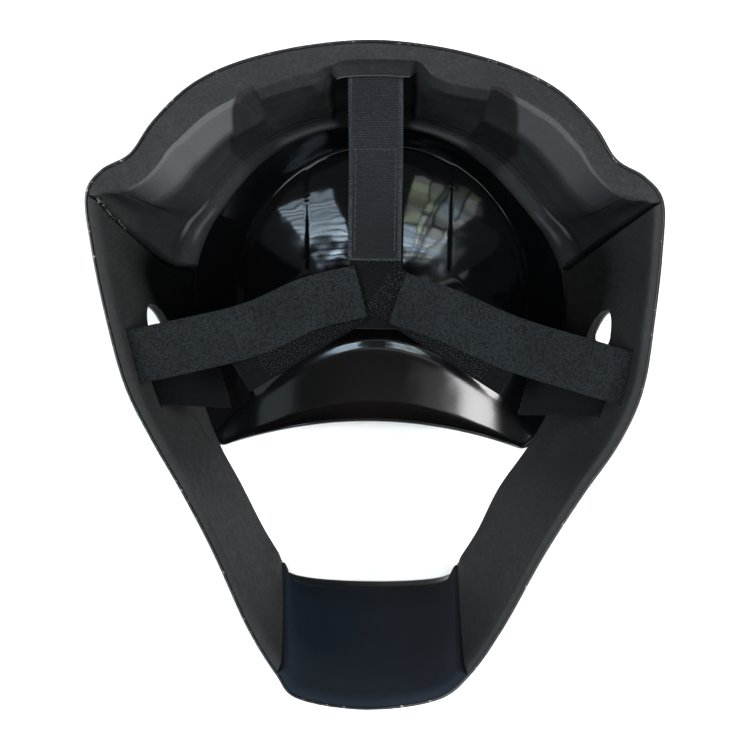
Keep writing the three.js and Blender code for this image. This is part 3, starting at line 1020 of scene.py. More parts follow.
@dataclass
class OuterSkin:
    """Thin black skin: one closed band with rounded edges, slit and holed."""

    slits: Sequence[Hole]
    ears: EarHole
    along_steps: int = 460
    depth_steps: int = 26
    edge_angles: tuple[float, ...] = (150, 120, 90, 60, 30)
    edge_bulge: float = 0.5
    rim_from: float = 0.97

    def section(self, places: Array) -> tuple[Array, Array]:
        """Closed sections at some places.

        Args:
            places: Places along the wall.

        Returns:
            Points (place, point, 3), and the depth of each point of a section.
        """
        depths = np.linspace(0, 1, self.depth_steps)
        grid_place, grid_depth = np.meshgrid(places, depths, indexing="ij")
        outer = WALL.face(grid_place, grid_depth)
        inner = WALL.under(grid_place, grid_depth, SKIN)[:, ::-1]
        rear = self.round_edge(places, 0.0, -1)
        front = self.round_edge(places, 1.0, 1)
        points = np.concatenate([outer, front, inner, rear], axis=1)
        ends = len(self.edge_angles)
        return points, np.concatenate([depths, np.ones(ends), depths[::-1], np.zeros(ends)])

    def round_edge(self, places: Array, depth: float, way: int) -> Array:
        """Half-round end of the skin.

        Args:
            places: Places along the wall.
            depth: 0 for the rear rim, 1 for the front edge.
            way: 1 from the outer face to the inner one, -1 back.

        Returns:
            Points (place, point, 3).
        """
        _, forward, out = WALL.directions(places, np.full_like(places, depth))
        middle = WALL.under(places, np.full_like(places, depth), SKIN / 2)
        points = []
        for angle in np.radians(self.edge_angles):
            lean, bulge = -way * math.cos(angle), self.edge_bulge * way * math.sin(angle)
            points.append(middle + SKIN / 2 * (lean * out + bulge * forward))
        return np.stack(points, axis=1)

    def build(self) -> Object:
        """Makes the skin with its slits and ear holes."""
        places = np.linspace(-WALL.last, WALL.last, self.along_steps + 1)[1:]
        points, depth = self.section(places)
        sections, count = points.shape[:2]
        flat = flat_grid(distances(points[:, 0]), depth * WALL_SPAN)
        rim = np.tile(smooth_step(1 - depth, self.rim_from, 1), sections)
        piece = new_piece("skin_shell", points, ring_faces(sections, count, True), SKIN_FINISH.build(), flat,
                          {"rim": rim})
        carve(piece, [slit_cutter(slit) for slit in self.slits] + [self.ears.cutter(side) for side in Side])
        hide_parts("outer_skin")
        return piece


RIDGE_END = 0.6


class Facet(NamedTuple):
    """A facet of the forehead foam, which adds heights by place along the wall at the share peak.

    The ridge that it starts at leaves the rear crease at start and runs on by slant over the slope, as
    far as RIDGE_END. Its width is blend, 0 for the first facet.
    """

    peak: float
    heights: Table
    start: float
    slant: float
    blend: float

    def covers(self, at: Array, share: Array) -> Array:
        """How far the facet takes over from the one before it, from 0 to 1, at places without their sign."""
        past = at - self.start - self.slant * np.minimum(share, RIDGE_END)
        return smooth_step(past, 0, self.blend) if self.blend else np.ones_like(past)


@dataclass(frozen=True)
class ForeheadShading:
    """Where the forehead foam shows its cut edge, painted light and painted shade, over which ranges, and how
    much left and right.
    """

    cut_width: float = 0.009
    cut_half: float = 0.6
    cut_ease: float = 0.06
    bulge_end: Span = (4.6, 5.8)
    upper_end: Span = (0.28, 0.47)
    # Painted light on the upper facets that face the lamps, and painted highlights along the crown's bead and
    # the temple's streaks
    upper_rubbed: Span = (0.75, 0.42)
    crown: tuple[Span, Span] = ((0.7, 1.0), (1.9, 2.5))
    crown_bead: Span = (0.905, 0.022)
    crown_rubbed: float = 0.75
    temple: tuple[Span, Span] = ((4.7, 5.2), (6.0, 6.5))
    streaks: Table = ((0.815, 1.0), (0.9, 0.7))
    streak_width: float = 0.014
    temple_rubbed: float = 0.6
    # Painted shade on the lower slope, the first facet, beside the rib, in the strap's channel and under its
    # flap
    low: tuple[Span, Span] = ((0.36, 0.52), (0.8, 0.9))
    low_grime: float = 0.26
    first_from: Span = (0.14, 0.4)
    first_grime: float = 0.2
    rib_grime: Span = (0.28, 0.5)
    channel_side: Span = (-0.06, 0.08)
    pocket_ease: float = 0.05
    pocket_grime: float = 0.5
    flap_from: float = 0.12
    flap_grime: float = 0.25
    most_grime: float = 0.8



@dataclass
class ForeheadPad:
    """Thick moulded foam from temple to temple with a flat rear face and a faceted slope."""

    slits: Sequence[Hole]
    left_flange: Table = (
        (0, 7.2), (0.45, 7.2), (0.6, 8.4), (0.75, 9.4), (0.87, 9.9), (1.2, 9.4), (1.5, 10.4),
        (1.84, 11.3), (1.92, 11.3), (2.15, 12.6), (2.36, 14.2), (3, 14.3), (3.5, 14), (4, 13.4),
        (4.5, 12), (5, 11.8), (5.5, 12.1), (5.8, 11), (6.4, 7.5), (7, 3.6))
    right_flange: Table = (
        (0, 7.2), (0.45, 6.8), (0.63, 6.0), (0.7, 6.7), (0.87, 10.3), (1.2, 12), (1.5, 11.5),
        (1.8, 10.5), (2, 9.6), (2.3, 11), (3, 11.4), (3.5, 10.4), (4, 10.5), (4.5, 9.7),
        (5, 9.9), (5.5, 11.3), (5.8, 11), (6.4, 7.5), (7, 3.6))
    panels: tuple[Facet, ...] = (
        Facet(0.2, ((0, 0), (0.72, 0), (0.95, 4), (1.5, 4.6), (2.2, 3.4), (7, 3.4)), 0, 0, 0),
        Facet(0.42, ((0, 7), (7, 7)), 1.83, 0.42, 0.035),
        Facet(0.33, ((0, 6.6), (3.4, 6.8), (4.2, 6.2), (5, 4.4), (5.8, 2.3), (6.6, 0.6), (7, 0)),
              2.22, 1.7, 0.16),
    )
    panel_end: float = 0.74
    panel_round: float = 0.045
    swell: Table = (
        (0, 0), (0.33, 0), (0.5, 0.7), (0.64, 2.1), (0.76, 2.2), (0.8, 0.9), (0.82, 1.3),
        (0.845, 0.8), (0.88, 1.7), (0.93, 2.2), (0.965, 1.6), (1, -0.6))
    temple_fill: tuple[float, float, float, float] = (6.25, 0.8, 0.45, 2.0)
    temple_end: Span = (0.35, 0.75)
    channel_edge: Span = (0.58, 0.3)
    channel_side: Span = (-0.05, 0.07)
    channel_end: Span = (0.78, 0.87)
    channel_depth: float = 2.2
    flap_from: float = 0.04
    flap_at: float = 0.205
    flap_edge: float = 0.012
    flap_rise: float = 3.8
    border: Span = (0.05, 0.06)
    border_from: Span = (0.1, 0.3)
    border_rise: float = 0.9
    wear_and_shading: ForeheadShading = ForeheadShading()
    row_span: float = 22
    seam_round: float = 2.2
    seam_least: float = 0.4
    ridge_window: float = 0.016
    swell_window: float = 0.01
    crease_round: float = 0.4
    along_steps: int = 400
    ridges: Table = ((0.5, 1.0), (1.85, 2.0))
    ridge_steps: int = 22
    slope_steps: int = 110
    flange_steps: int = 12
    flange_from: float = 0.98
    outside_steps: int = 16
    outside_from: float = 0.014

    def channel_line(self, share: Array) -> Array:
        """Half width of the top strap's channel, as a place along the wall."""
        return self.channel_edge[0] + self.channel_edge[1] * share

    def channel(self, at: Array, share: Array) -> Array:
        """Foam taken away along the top strap, and added at the flap and border of its channel.

        Args:
            at: Places along the wall without their sign.
            share: 0 at the rear crease, 1 at the front lip.

        Returns:
            Change of thickness in millimetres.
        """
        edge = self.channel_line(share)
        inside = smooth_step(edge - at, *self.channel_side)
        below = smooth_step(share, self.flap_at, self.flap_at + self.flap_edge)
        before_lip = 1 - smooth_step(share, *self.channel_end)
        flap = self.flap_rise * smooth_step(share, self.flap_from, self.flap_at) * (1 - below) * inside
        beyond, width = self.border
        border = bell(at - edge - beyond, width) * smooth_step(share, *self.border_from)
        groove = self.channel_depth * inside * below
        return flap - groove * before_lip + self.border_rise * border * before_lip

    def temple(self, at: Array, share: Array) -> Array:
        """Foam that fills the hollow of the wall before the temple's corner."""
        place, slant, width, height = self.temple_fill
        return height * bell(at - place + slant * share, width) * (1 - smooth_step(share, *self.temple_end))

    def upper_facet(self, at: Array, share: Array) -> Array:
        """Foam added by the facets below the rear crease, which differ from panel to panel."""
        total = np.zeros(np.broadcast_shapes(at.shape, share.shape))
        for panel in self.panels:
            falling = (self.panel_end - share) / (self.panel_end - panel.peak)
            form = np.maximum(smooth_least(share / panel.peak, falling, self.panel_round), 0)
            form = form * eased(panel.heights, at, self.ridge_window)
            total += (form - total) * panel.covers(at, share)
        return total

    def tone_marks(self, places: Array, share: Array) -> dict[str, Array]:
        """Marks of the slope: the flap's cut edge, painted light on the lit facets and painted highlights on
        the beads, and painted shade in the hollows.

        Args:
            places: Places along the wall.
            share: 0 at the rear crease, 1 at the front lip.

        Returns:
            Each mark at each place (rows) and share (columns).
        """
        at, left, wear_and_shading = np.abs(places)[:, None], places[:, None] < 0, self.wear_and_shading
        rib, bulge = (panel.covers(at, share) for panel in self.panels[1:])
        bulge = bulge * (1 - smooth_step(at, *wear_and_shading.bulge_end))
        cut = bell(share - self.flap_at, wear_and_shading.cut_width) * smooth_step(wear_and_shading.cut_half - at, 0, wear_and_shading.cut_ease)
        upper = 1 - smooth_step(share, *wear_and_shading.upper_end)
        crown = plateau(at, *wear_and_shading.crown) * bell(share - wear_and_shading.crown_bead[0], wear_and_shading.crown_bead[1])
        streaks = sum(amount * bell(share - place, wear_and_shading.streak_width) for place, amount in wear_and_shading.streaks)
        # Painted light on the lit facets and painted highlights on the beads
        rubbed = np.where(left, *wear_and_shading.upper_rubbed) * bulge * upper + wear_and_shading.crown_rubbed * crown
        rubbed = rubbed + wear_and_shading.temple_rubbed * plateau(at, *wear_and_shading.temple) * streaks
        inside = smooth_step(self.channel_line(share) - at, *wear_and_shading.channel_side)
        pocket = inside * smooth_step(share, self.flap_at, self.flap_at + wear_and_shading.pocket_ease)
        # Painted shade in the hollows, the channel and under the flap
        first = (1 - rib) * smooth_step(share, *wear_and_shading.first_from)
        grime = wear_and_shading.low_grime * plateau(share, *wear_and_shading.low) + wear_and_shading.first_grime * first
        grime = grime + np.where(left, *wear_and_shading.rib_grime) * rib * (1 - bulge) + wear_and_shading.pocket_grime * pocket
        grime = grime + wear_and_shading.flap_grime * inside * (1 - smooth_step(share, wear_and_shading.flap_from, self.flap_at))
        return {"cut": cut, "rubbed": np.clip(rubbed, 0, 1),
                "grime": np.clip(grime * (1 - rubbed), 0, wear_and_shading.most_grime)}

    def profile(self, places: Array) -> tuple[Array, Array, Array, dict[str, Array]]:
        """Closed sections at some places.

        Args:
            places: Places along the wall.

        Returns:
            Points (place, point, 3), how far along each section and how far round its points lie, and
            the marks of each point.
        """
        at = np.abs(places)[:, None]
        flange = np.where(places[:, None] < 0, eased(self.left_flange, at, self.ridge_window),
                          eased(self.right_flange, at, self.ridge_window))
        lip = WALL.value("lip", at)
        rear = WALL.border("rim", places)[:, 2:3] - RIM_STEP
        share = np.linspace(1, 0, self.slope_steps)[None, :]
        ends = round_growth((CORNER_AT - SEAM_GAP - at) * self.row_span, self.seam_round, self.seam_least)
        thickness = flange + (lip - flange) * share + eased(self.swell, share, self.swell_window)
        thickness = thickness + self.upper_facet(at, share) + self.channel(at, share) + self.temple(at, share)
        slope = self.at_level(places, share * PAD_FRONT, BACKING + thickness * ends, rear)
        reach = np.linspace(self.flange_from, 0, self.flange_steps)[None, :]
        flat = self.at_level(places, np.zeros_like(reach), BACKING + flange * reach * ends, rear)
        depths = np.linspace(self.outside_from, PAD_FRONT, self.outside_steps)[None, :]
        outside = WALL.under(bowed(places[:, None], depths), depths, BACKING)
        points = np.concatenate([outside, slope, flat], axis=1)
        quarter = points[len(places) // 4]
        on_slope = slice(self.outside_steps, self.outside_steps + self.slope_steps)
        marks = {}
        for name, values in self.tone_marks(places, share).items():
            marks[name] = np.zeros(points.shape[:2])
            marks[name][:, on_slope] = values
        return points, distances(outside[:, 0]), distances(quarter), marks

    def places(self) -> Array:
        """Places of the sections, closer together at the ridges."""
        end = CORNER_AT - SEAM_GAP
        near = np.concatenate([np.linspace(low, high, self.ridge_steps) for low, high in self.ridges])
        return np.unique(np.concatenate([np.linspace(-end, end, self.along_steps), near, -near]))

    def at_level(self, places: Array, depth: Array, thickness: Array, rear: Array) -> Array:
        """Points under the wall that stay below the flat rear face, with a rounded crease.

        Args:
            places: Places along the wall.
            depth: 0 at the rear rim, 1 at the front edge.
            thickness: Distance from the wall's outer face.
            rear: Height of the rear face.

        Returns:
            Points (place, point, 3).
        """
        points = WALL.under(bowed(places[:, None], depth), depth, thickness)
        height = points[..., 2]
        points[..., 2] = smooth_least(height, np.broadcast_to(rear, height.shape), self.crease_round)
        return points

    def build(self) -> Object:
        """Makes the pad with the top strap's slits."""
        points, along, down, marks = self.profile(self.places())
        marks = {name: values.ravel() for name, values in marks.items()}
        piece = new_piece("forehead_foam", points, loft_faces(*points.shape[:2]), FOAM.build(),
                          flat_grid(along, down), marks, SOFT_SHARP)
        carve(piece, [slit_cutter(slit) for slit in self.slits], SOFT_SHARP)
        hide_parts("forehead_pad")
        return piece


class Spot(NamedTuple):
    """A soft oval on the foam, such as a dent or a patch of painted shade: its middle, reach both ways and
    amount.
    """

    place: float
    depth: float
    along: float
    forward: float
    amount: float

    def over(self, places: Array, depths: Array) -> Array:
        """Its amount at each place (rows) and depth (columns)."""
        off_place = (places[:, None] - self.place) / self.along
        off_depth = (depths[None, :] - self.depth) / self.forward
        return self.amount * bell(off_place ** 2 + off_depth ** 2, 1)


@dataclass
class ThinPad:
    """Thin foam of a side or of the chin, rounded at its rear edge and at its seams."""

    name: str
    node: str
    slot: str
    first: float
    last: float
    foam: float
    lip: bool
    finish: Union[FoamFinish, KnitFinish]
    dents: Sequence[Spot] = ()
    # Patches of painted shade, and painted light along the rear edge
    shade_spots: Sequence[Spot] = ()
    rubbed_rim: float = 0.12
    rubbed_end: Span = (0.02, 0.13)
    rear_round: float = 4.2
    front_round: float = 1.6
    front_least: float = 0.3
    seam_round: float = 2.4
    seam_least: float = 0.35
    row_span: float = 26
    steps_per_row: int = 24
    depth_steps: int = 64
    crowding: float = 1.25

    def thickness(self, places: Array, depths: Array) -> Array:
        """Foam thickness at each place (rows) and depth (columns)."""
        at = np.abs(places)[:, None]
        depth = depths[None, :]
        full = self.foam + (WALL.value("lip", at) - self.foam) * depth * depth if self.lip else self.foam
        rear = round_growth(depth * WALL_SPAN, self.rear_round)
        front = round_growth((PAD_FRONT - depth) * WALL_SPAN, self.front_round, self.front_least)
        seam = np.minimum(np.abs(places - self.first), np.abs(places - self.last))[:, None] * self.row_span
        result = full * rear * front * round_growth(seam, self.seam_round, self.seam_least)
        return result - sum(dent.over(places, depths) for dent in self.dents)

    def tone_marks(self, places: Array, depths: Array) -> dict[str, Array]:
        """Marks of the inside: painted light along its rear edge and painted shade in patches."""
        # Painted light along the rear edge, and painted shade from the patches.
        rubbed = self.rubbed_rim * (1 - smooth_step(depths, *self.rubbed_end))
        unshaded = np.zeros((len(places), len(depths)))
        grime = sum((shade_spot.over(places, depths) for shade_spot in self.shade_spots), unshaded)
        return {"rubbed": np.broadcast_to(rubbed, grime.shape), "grime": np.clip(grime, 0, 1)}

    def build(self, cutters: Sequence[Object] = ()) -> Object:
        """Makes the pad and cuts it.

        Args:
            cutters: Helper objects to cut out; they are removed.

        Returns:
            The piece.
        """
        steps = int(abs(self.last - self.first) * self.steps_per_row)
        places = np.linspace(self.first, self.last, steps)
        depths = PAD_FRONT * np.linspace(0, 1, self.depth_steps) ** self.crowding
        thick = self.thickness(places, depths)
        wrapped = bowed(WALL.wrap(places)[:, None], depths[None, :])
        outside = WALL.under(wrapped, depths[None, :], BACKING)
        inside = WALL.under(wrapped, depths[None, :], BACKING + thick)[:, ::-1]
        points = np.concatenate([outside, inside], axis=1)
        flat = flat_grid(distances(outside[:, 0]), np.concatenate([depths, depths[::-1]]) * WALL_SPAN)
        marks = {name: np.concatenate([values, values[:, ::-1]], axis=1).ravel()
                 for name, values in self.tone_marks(places, depths).items()}
        piece = new_piece(self.name, points, loft_faces(*points.shape[:2]), self.finish.build(), flat, marks,
                          SOFT_SHARP)
        if cutters:
            carve(piece, cutters, SOFT_SHARP)
        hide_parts(self.node)
        return piece


@dataclass
class GlueLine:
    """Dried glue squeezed out of the seam at the left temple: beads of several sizes."""

    place: float = -CORNER_AT
    depths: Span = (0.015, 0.36)
    beads: int = 40
    level: float = 3.4
    spread: float = 0.4
    shoulder: float = 0.25
    sides: int = 7
    sizes: Span = (0.25, 1.15)
    seed: int = 11

    def build(self) -> Object:
        """Makes the beads along the seam."""
        draw = np.random.default_rng(self.seed)
        depth = np.sort(draw.uniform(*self.depths, self.beads))
        places = bowed(np.full(self.beads, self.place), depth)
        thick = BACKING + self.level + draw.normal(0, self.spread, self.beads)
        along, _, out = WALL.directions(places, depth)
        points = WALL.under(places, depth, thick) + along * draw.normal(0, self.spread, self.beads)[:, None]
        base = directed_points("glue_beads", points, along, -out)
        bead = bar_shape("bead", 1, 1, self.shoulder, self.sides)
        repeat = Repeat("glue_beads", Scatter.AT_POINTS, 1.0, *self.sizes, self.seed)
        beads = repeat.make(base, bead, GLUE.build())
        return beads


# The hard cap


@dataclass
class ForeheadCap:
    """Glossy cap: a dome with a pressed panel, a raised arc, and a band along the brow."""

    middle_y: float = 44
    flat_radius: float = 12
    bowl_y: float = 30
    brow_y: float = -18
    brow_z: float = 10
    brow_flat: float = 4
    wall: float = 2
    corner: float = 7
    upper_steps: int = 270
    brow_steps: int = 100
    ring_steps: int = 150
    outer_every: int = 3
    arc: tuple[float, float, float, float] = (2.5, 45, 77.5, 81)
    arc_round: float = 1.0
    arc_edge: float = 0.04
    arc_limits: Span = (0.78, 0.95)
    dome_flatness: float = 1.15
    panel_x: float = 38
    panel_corner: Span = (38, 62)
    panel_end: Span = (60, 46)
    panel_step: float = 0.26
    panel_edge: float = 1.1
    panel_from: Span = (4, 18)
    crease: Triple = (26, 25, 58)
    ridge: Triple = (1.6, 9, 4)
    ridge_half: float = 68
    ridge_fade: float = 30
    band_rise: float = 0.3
    band_curve: float = 1.7
    band_least: float = 1
    band_from: Span = (-4, 8)
    band_matt: float = 0.12
    thin_half: float = 34
    lip_from: float = 0.74
    lip_bulge: float = 0.5
    lip_angles: tuple[float, ...] = (30, 60, 90, 120, 150)

    def rim(self) -> Array:
        """Rim of the cap with its two brow corners rounded."""
        places = np.linspace(-BROW_AT, BROW_AT, self.upper_steps)
        forward = WALL.directions(places, np.ones_like(places))[1]
        upper = WALL.face(places, np.ones_like(places)) + forward * GAP
        share = np.linspace(0, 1, self.brow_steps + 2)[1:-1, None]
        bow = 1 - (2 * share - 1) ** 2
        lower = upper[-1] + (upper[0] - upper[-1]) * share
        lower[:, 1:2] += (self.brow_y - lower[:, 1:2]) * bow
        lower[:, 2:3] += (self.brow_z - lower[:, 2:3]) * (1 - np.abs(2 * share - 1) ** self.brow_flat)
        points = np.concatenate([upper, lower])
        for corner in (0, self.upper_steps - 1):
            points = self.round_corner(points, corner)
        return points

    def round_corner(self, loop: Array, corner: int) -> Array:
        """Rounds a closed loop at one of its points.

        Args:
            loop: The loop's points.
            corner: Index of the point.

        Returns:
            The loop's points, as many as before.
        """
        middle = len(loop) // 2
        ordered = np.roll(loop, middle - corner, axis=0)
        away = distances(ordered)
        away -= away[middle]
        near = np.abs(away) < self.corner
        first, last = np.where(near)[0][[0, -1]]
        t = (0.5 + 0.5 * away[near] / self.corner)[:, None]
        ordered[near] = bent(ordered[first - 1], ordered[middle], ordered[last + 1], t)
        return np.roll(ordered, corner - middle, axis=0)

    def relief(self, x: Array, y: Array) -> Array:
        """Height of the pressed shapes above the plain dome, towards the head, at some places."""
        side = np.abs(x)
        (corner_x, corner_y), (end_x, end_y) = self.panel_corner, self.panel_end
        slope = (end_y - corner_y) / (end_x - corner_x)
        below = (corner_y + slope * (side - corner_x)) - y
        inside_line, under_line = (smooth_step(inwards, -self.panel_edge / 2, self.panel_edge / 2)
                                   for inwards in (self.panel_x - side, below))
        arc_x, arc_y, half_width, half_height = self.arc
        off_arc = np.hypot((x - arc_x) / half_width, (y - arc_y) / half_height)
        inside_arc = smooth_step(1 - off_arc, 0, self.arc_edge)
        panel = -self.panel_step * np.maximum(inside_line, under_line) * inside_arc
        over = y - self.brow_line(x)
        height, above, below_crease = self.ridge
        shape = np.where(over > 0, bell(over, above), bell(over, below_crease))
        ridge = height * shape * smooth_step(self.ridge_half - side, 0, self.ridge_fade)
        return panel * smooth_step(over, *self.panel_from) + ridge

    def brow_line(self, x: Array) -> Array:
        """Y of the crease above the brow band."""
        middle, fall, reach = self.crease
        return middle - fall * (x / reach) ** 2

    @staticmethod
    def about(centre: float, rim: Array, x: Array, y: Array) -> tuple[Array, Array, Array]:
        """Looks along rays from a middle point to the rim.

        Args:
            centre: Y of the middle point.
            rim: The rim's points.
            x: X of the places.
            y: Y of the places.

        Returns:
            Distances of the places, and the rim's distance and height in their directions.
        """
        turn = np.arctan2(rim[:, 1] - centre, rim[:, 0])
        angle = np.arctan2(y - centre, x)
        reach = np.hypot(rim[:, 0], rim[:, 1] - centre)
        far, high = (np.interp(angle, turn, values, period=math.tau) for values in (reach, rim[:, 2]))
        return np.hypot(x, y - centre), far, high

    def bowl(self, rim: Array, x: Array, y: Array) -> Array:
        """Height of the dome at some places: round from its middle, and steeper outside the arc."""
        away, far, high = self.about(self.bowl_y, rim, x, y)
        away = np.minimum(away, far)
        radius = self.dome_flatness * (far ** 2 + high ** 2) / (2 * high)
        dome = radius - np.sqrt(radius ** 2 - away ** 2)
        turn = np.arctan2(y - self.bowl_y, x)
        bend = np.clip(self.arc_reach(turn), *(limit * far for limit in self.arc_limits))
        start = radius - np.sqrt(radius ** 2 - bend ** 2)
        steep = start + (high - start) * (away - bend) / (far - bend)
        return -smooth_least(-dome, -steep, self.arc_round)

    def arc_reach(self, turn: Array) -> Array:
        """Distance of the arc from the dome's middle in each direction."""
        arc_x, arc_y, half_width, half_height = self.arc
        along_x, along_y = np.cos(turn) / half_width, np.sin(turn) / half_height
        from_x, from_y = -arc_x / half_width, (self.bowl_y - arc_y) / half_height
        square = along_x ** 2 + along_y ** 2
        mixed = along_x * from_x + along_y * from_y
        return (-mixed + np.sqrt(mixed ** 2 - square * (from_x ** 2 + from_y ** 2 - 1))) / square

    def surface(self, rim: Array, x: Array, y: Array) -> Array:
        """Height of the plain inner form: the dome, and below its crease the band along the brow.

        Args:
            rim: The rim's points.
            x: X of the places.
            y: Y of the places.

        Returns:
            One height for each place.
        """
        lower = rim[self.upper_steps:][np.argsort(rim[self.upper_steps:, 0])]
        edge_y, edge_z = (np.interp(x, lower[:, 0], lower[:, axis]) for axis in (1, 2))
        line = self.brow_line(x)
        start = self.bowl(rim, x, line)
        share = np.clip((line - y) / np.maximum(line - edge_y, self.band_least), 0, 1)
        lip = np.maximum(share - self.lip_from, 0) / (1 - self.lip_from)
        profile = self.band_rise * share ** self.band_curve + (1 - self.band_rise) * lip ** 2
        band = start + (edge_z - start) * profile
        return np.where(y < line, band, self.bowl(rim, x, y))

    def front(self, rim: Array, x: Array, y: Array) -> Array:
        """Height of the outer face: a flat with a dome round it."""
        away, far, high = self.about(self.middle_y, rim, x, y)
        return high * (np.maximum(away - self.flat_radius, 0) / (far - self.flat_radius)) ** 2

    @staticmethod
    def normals(rings: Array) -> Array:
        """Unit normals of a grid of rings, towards the head."""
        across = np.roll(rings, -1, axis=1) - np.roll(rings, 1, axis=1)
        outwards = np.gradient(rings, axis=0)
        normal = unit(np.cross(across, outwards))
        return np.where(normal[..., 2:3] < 0, -normal, normal)

    def layers(self) -> tuple[Array, Array]:
        """Rings of the cap's wall, from the middle of its front round the edge to the middle of its inside.

        Returns:
            Points (ring, ray, 3), and the two points in the middle.
        """
        rim = self.rim()
        middle = np.array([0, self.bowl_y, 0.0])
        share = np.linspace(0, 1, self.ring_steps + 1)[1:, None, None]
        rings = middle + (rim * np.array([1, 1, 0]) - middle) * share
        x, y = rings[..., 0], rings[..., 1]
        rings[..., 2] = self.surface(rim, x, y)
        bump = self.relief(x, y)[..., None]
        rings[-1] = rim
        inner = rings + self.normals(rings) * (bump + self.wall)
        outer = rings[self.outer_every - 1::self.outer_every].copy()
        front = self.front(rim, outer[..., 0], outer[..., 1])
        outer[:-1, :, 2] = np.clip(np.minimum(front, outer[..., 2]), 0, None)[:-1]
        outwards = unit(rings[-1] - rings[-3])
        edge, half = (outer[-1] + inner[-1]) / 2, (outer[-1] - inner[-1]) / 2
        lip = [edge + half * math.cos(angle) + outwards * self.lip_bulge * math.sin(angle)
               for angle in np.radians(self.lip_angles)]
        return np.concatenate([outer, np.stack(lip), inner[::-1]]), np.stack([middle, inner[0].mean(axis=0)])

    def build(self) -> Object:
        """Makes the cap as one closed wall with a rounded edge."""
        layers, middles = self.layers()
        points = np.concatenate([layers.reshape(-1, 3), middles])
        x, y = points[:, 0], points[:, 1]
        under = smooth_step(self.brow_line(x) - y, *self.band_from)
        # Painted reflection: a brownish tint in the middle of the band below the crease.
        marks = {"thin": bell(x, self.thin_half) * under, "matt": self.band_matt * under}
        sections, count = layers.shape[:2]
        faces = ring_faces(sections, count)
        front, back, last = len(points) - 2, len(points) - 1, (sections - 1) * count
        for ray in range(count):
            after = (ray + 1) % count
            faces += [(front, after, ray), (back, last + ray, last + after)]
        piece = new_piece("gloss_cap", points, faces, CAP_FINISH.build(), marks=marks, sharp=CAP_SHARP)
        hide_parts("forehead_cap")
        return piece


# The harness


@dataclass(frozen=True)
class Harness:
    """Where the three straps meet: a sagging cone round a hub."""

    x: float = -1
    y: float = 50
    z: float = 84
    hub: float = 18
    rise: float = 0.24

    def height(self, x: Array, y: Array) -> Array:
        """Height of the hook pad's middle at a place in plan."""
        return self.z + self.rise * np.maximum(0, np.hypot(x - self.x, y - self.y) - self.hub)


HARNESS = Harness()


class Arm(NamedTuple):
    """An arm of the hook pad: its turn in degrees, its start and end, its first hooks and its level."""

    turn: float
    start: float
    end: float
    hooks: float
    level: float


@dataclass(frozen=True)
class BandForm:
    """Cross-section of a webbing: round edges, each a share of the half width, and a groove beside them."""

    thick: float
    edge: float
    groove: float
    points: int
    edge_least: float = 0.16
    groove_at: float = 0.87
    groove_width: float = 0.018
    crowding: float = 1.35

    @property
    def widths(self) -> Array:
        """Places across a face, from -1 to 1, closer together towards the edges."""
        even = np.linspace(-1, 1, self.points)
        return np.sign(even) * (1 - (1 - np.abs(even)) ** self.crowding)

    @property
    def flat_widths(self) -> Array:
        """Place across the webbing of each point of a section, in millimetres."""
        return np.concatenate([self.widths, self.widths[::-1]]) * STRAP_WIDTH / 2

    def half(self, widths: Array) -> Array:
        """Half thickness at some places across."""
        near = np.clip((np.abs(widths) - 1 + self.edge) / self.edge, 0, 1)
        body = self.thick / 2 * np.maximum(self.edge_least, np.sqrt(1 - near ** 2))
        return body - self.groove * bell(np.abs(widths) - self.groove_at, self.groove_width)

    def sections(self, line: Array, across: Array) -> tuple[Array, Array, Array]:
        """Closed sections of the webbing along a line.

        Args:
            line: Its middle line.
            across: Directions of its width.

        Returns:
            Points (section, point, 3), and the directions along the webbing and up from it.
        """
        tangent = unit(np.gradient(line, axis=0))
        up = unit(np.cross(across, tangent))
        up = np.where(up[:1, 2:3] < 0, -up, up)
        middle = line[:, None] + across[:, None] * self.widths[None, :, None] * STRAP_WIDTH / 2
        lift = up[:, None] * self.half(self.widths)[None, :, None]
        return np.concatenate([middle - lift, (middle + lift)[:, ::-1]], axis=1), tangent, up


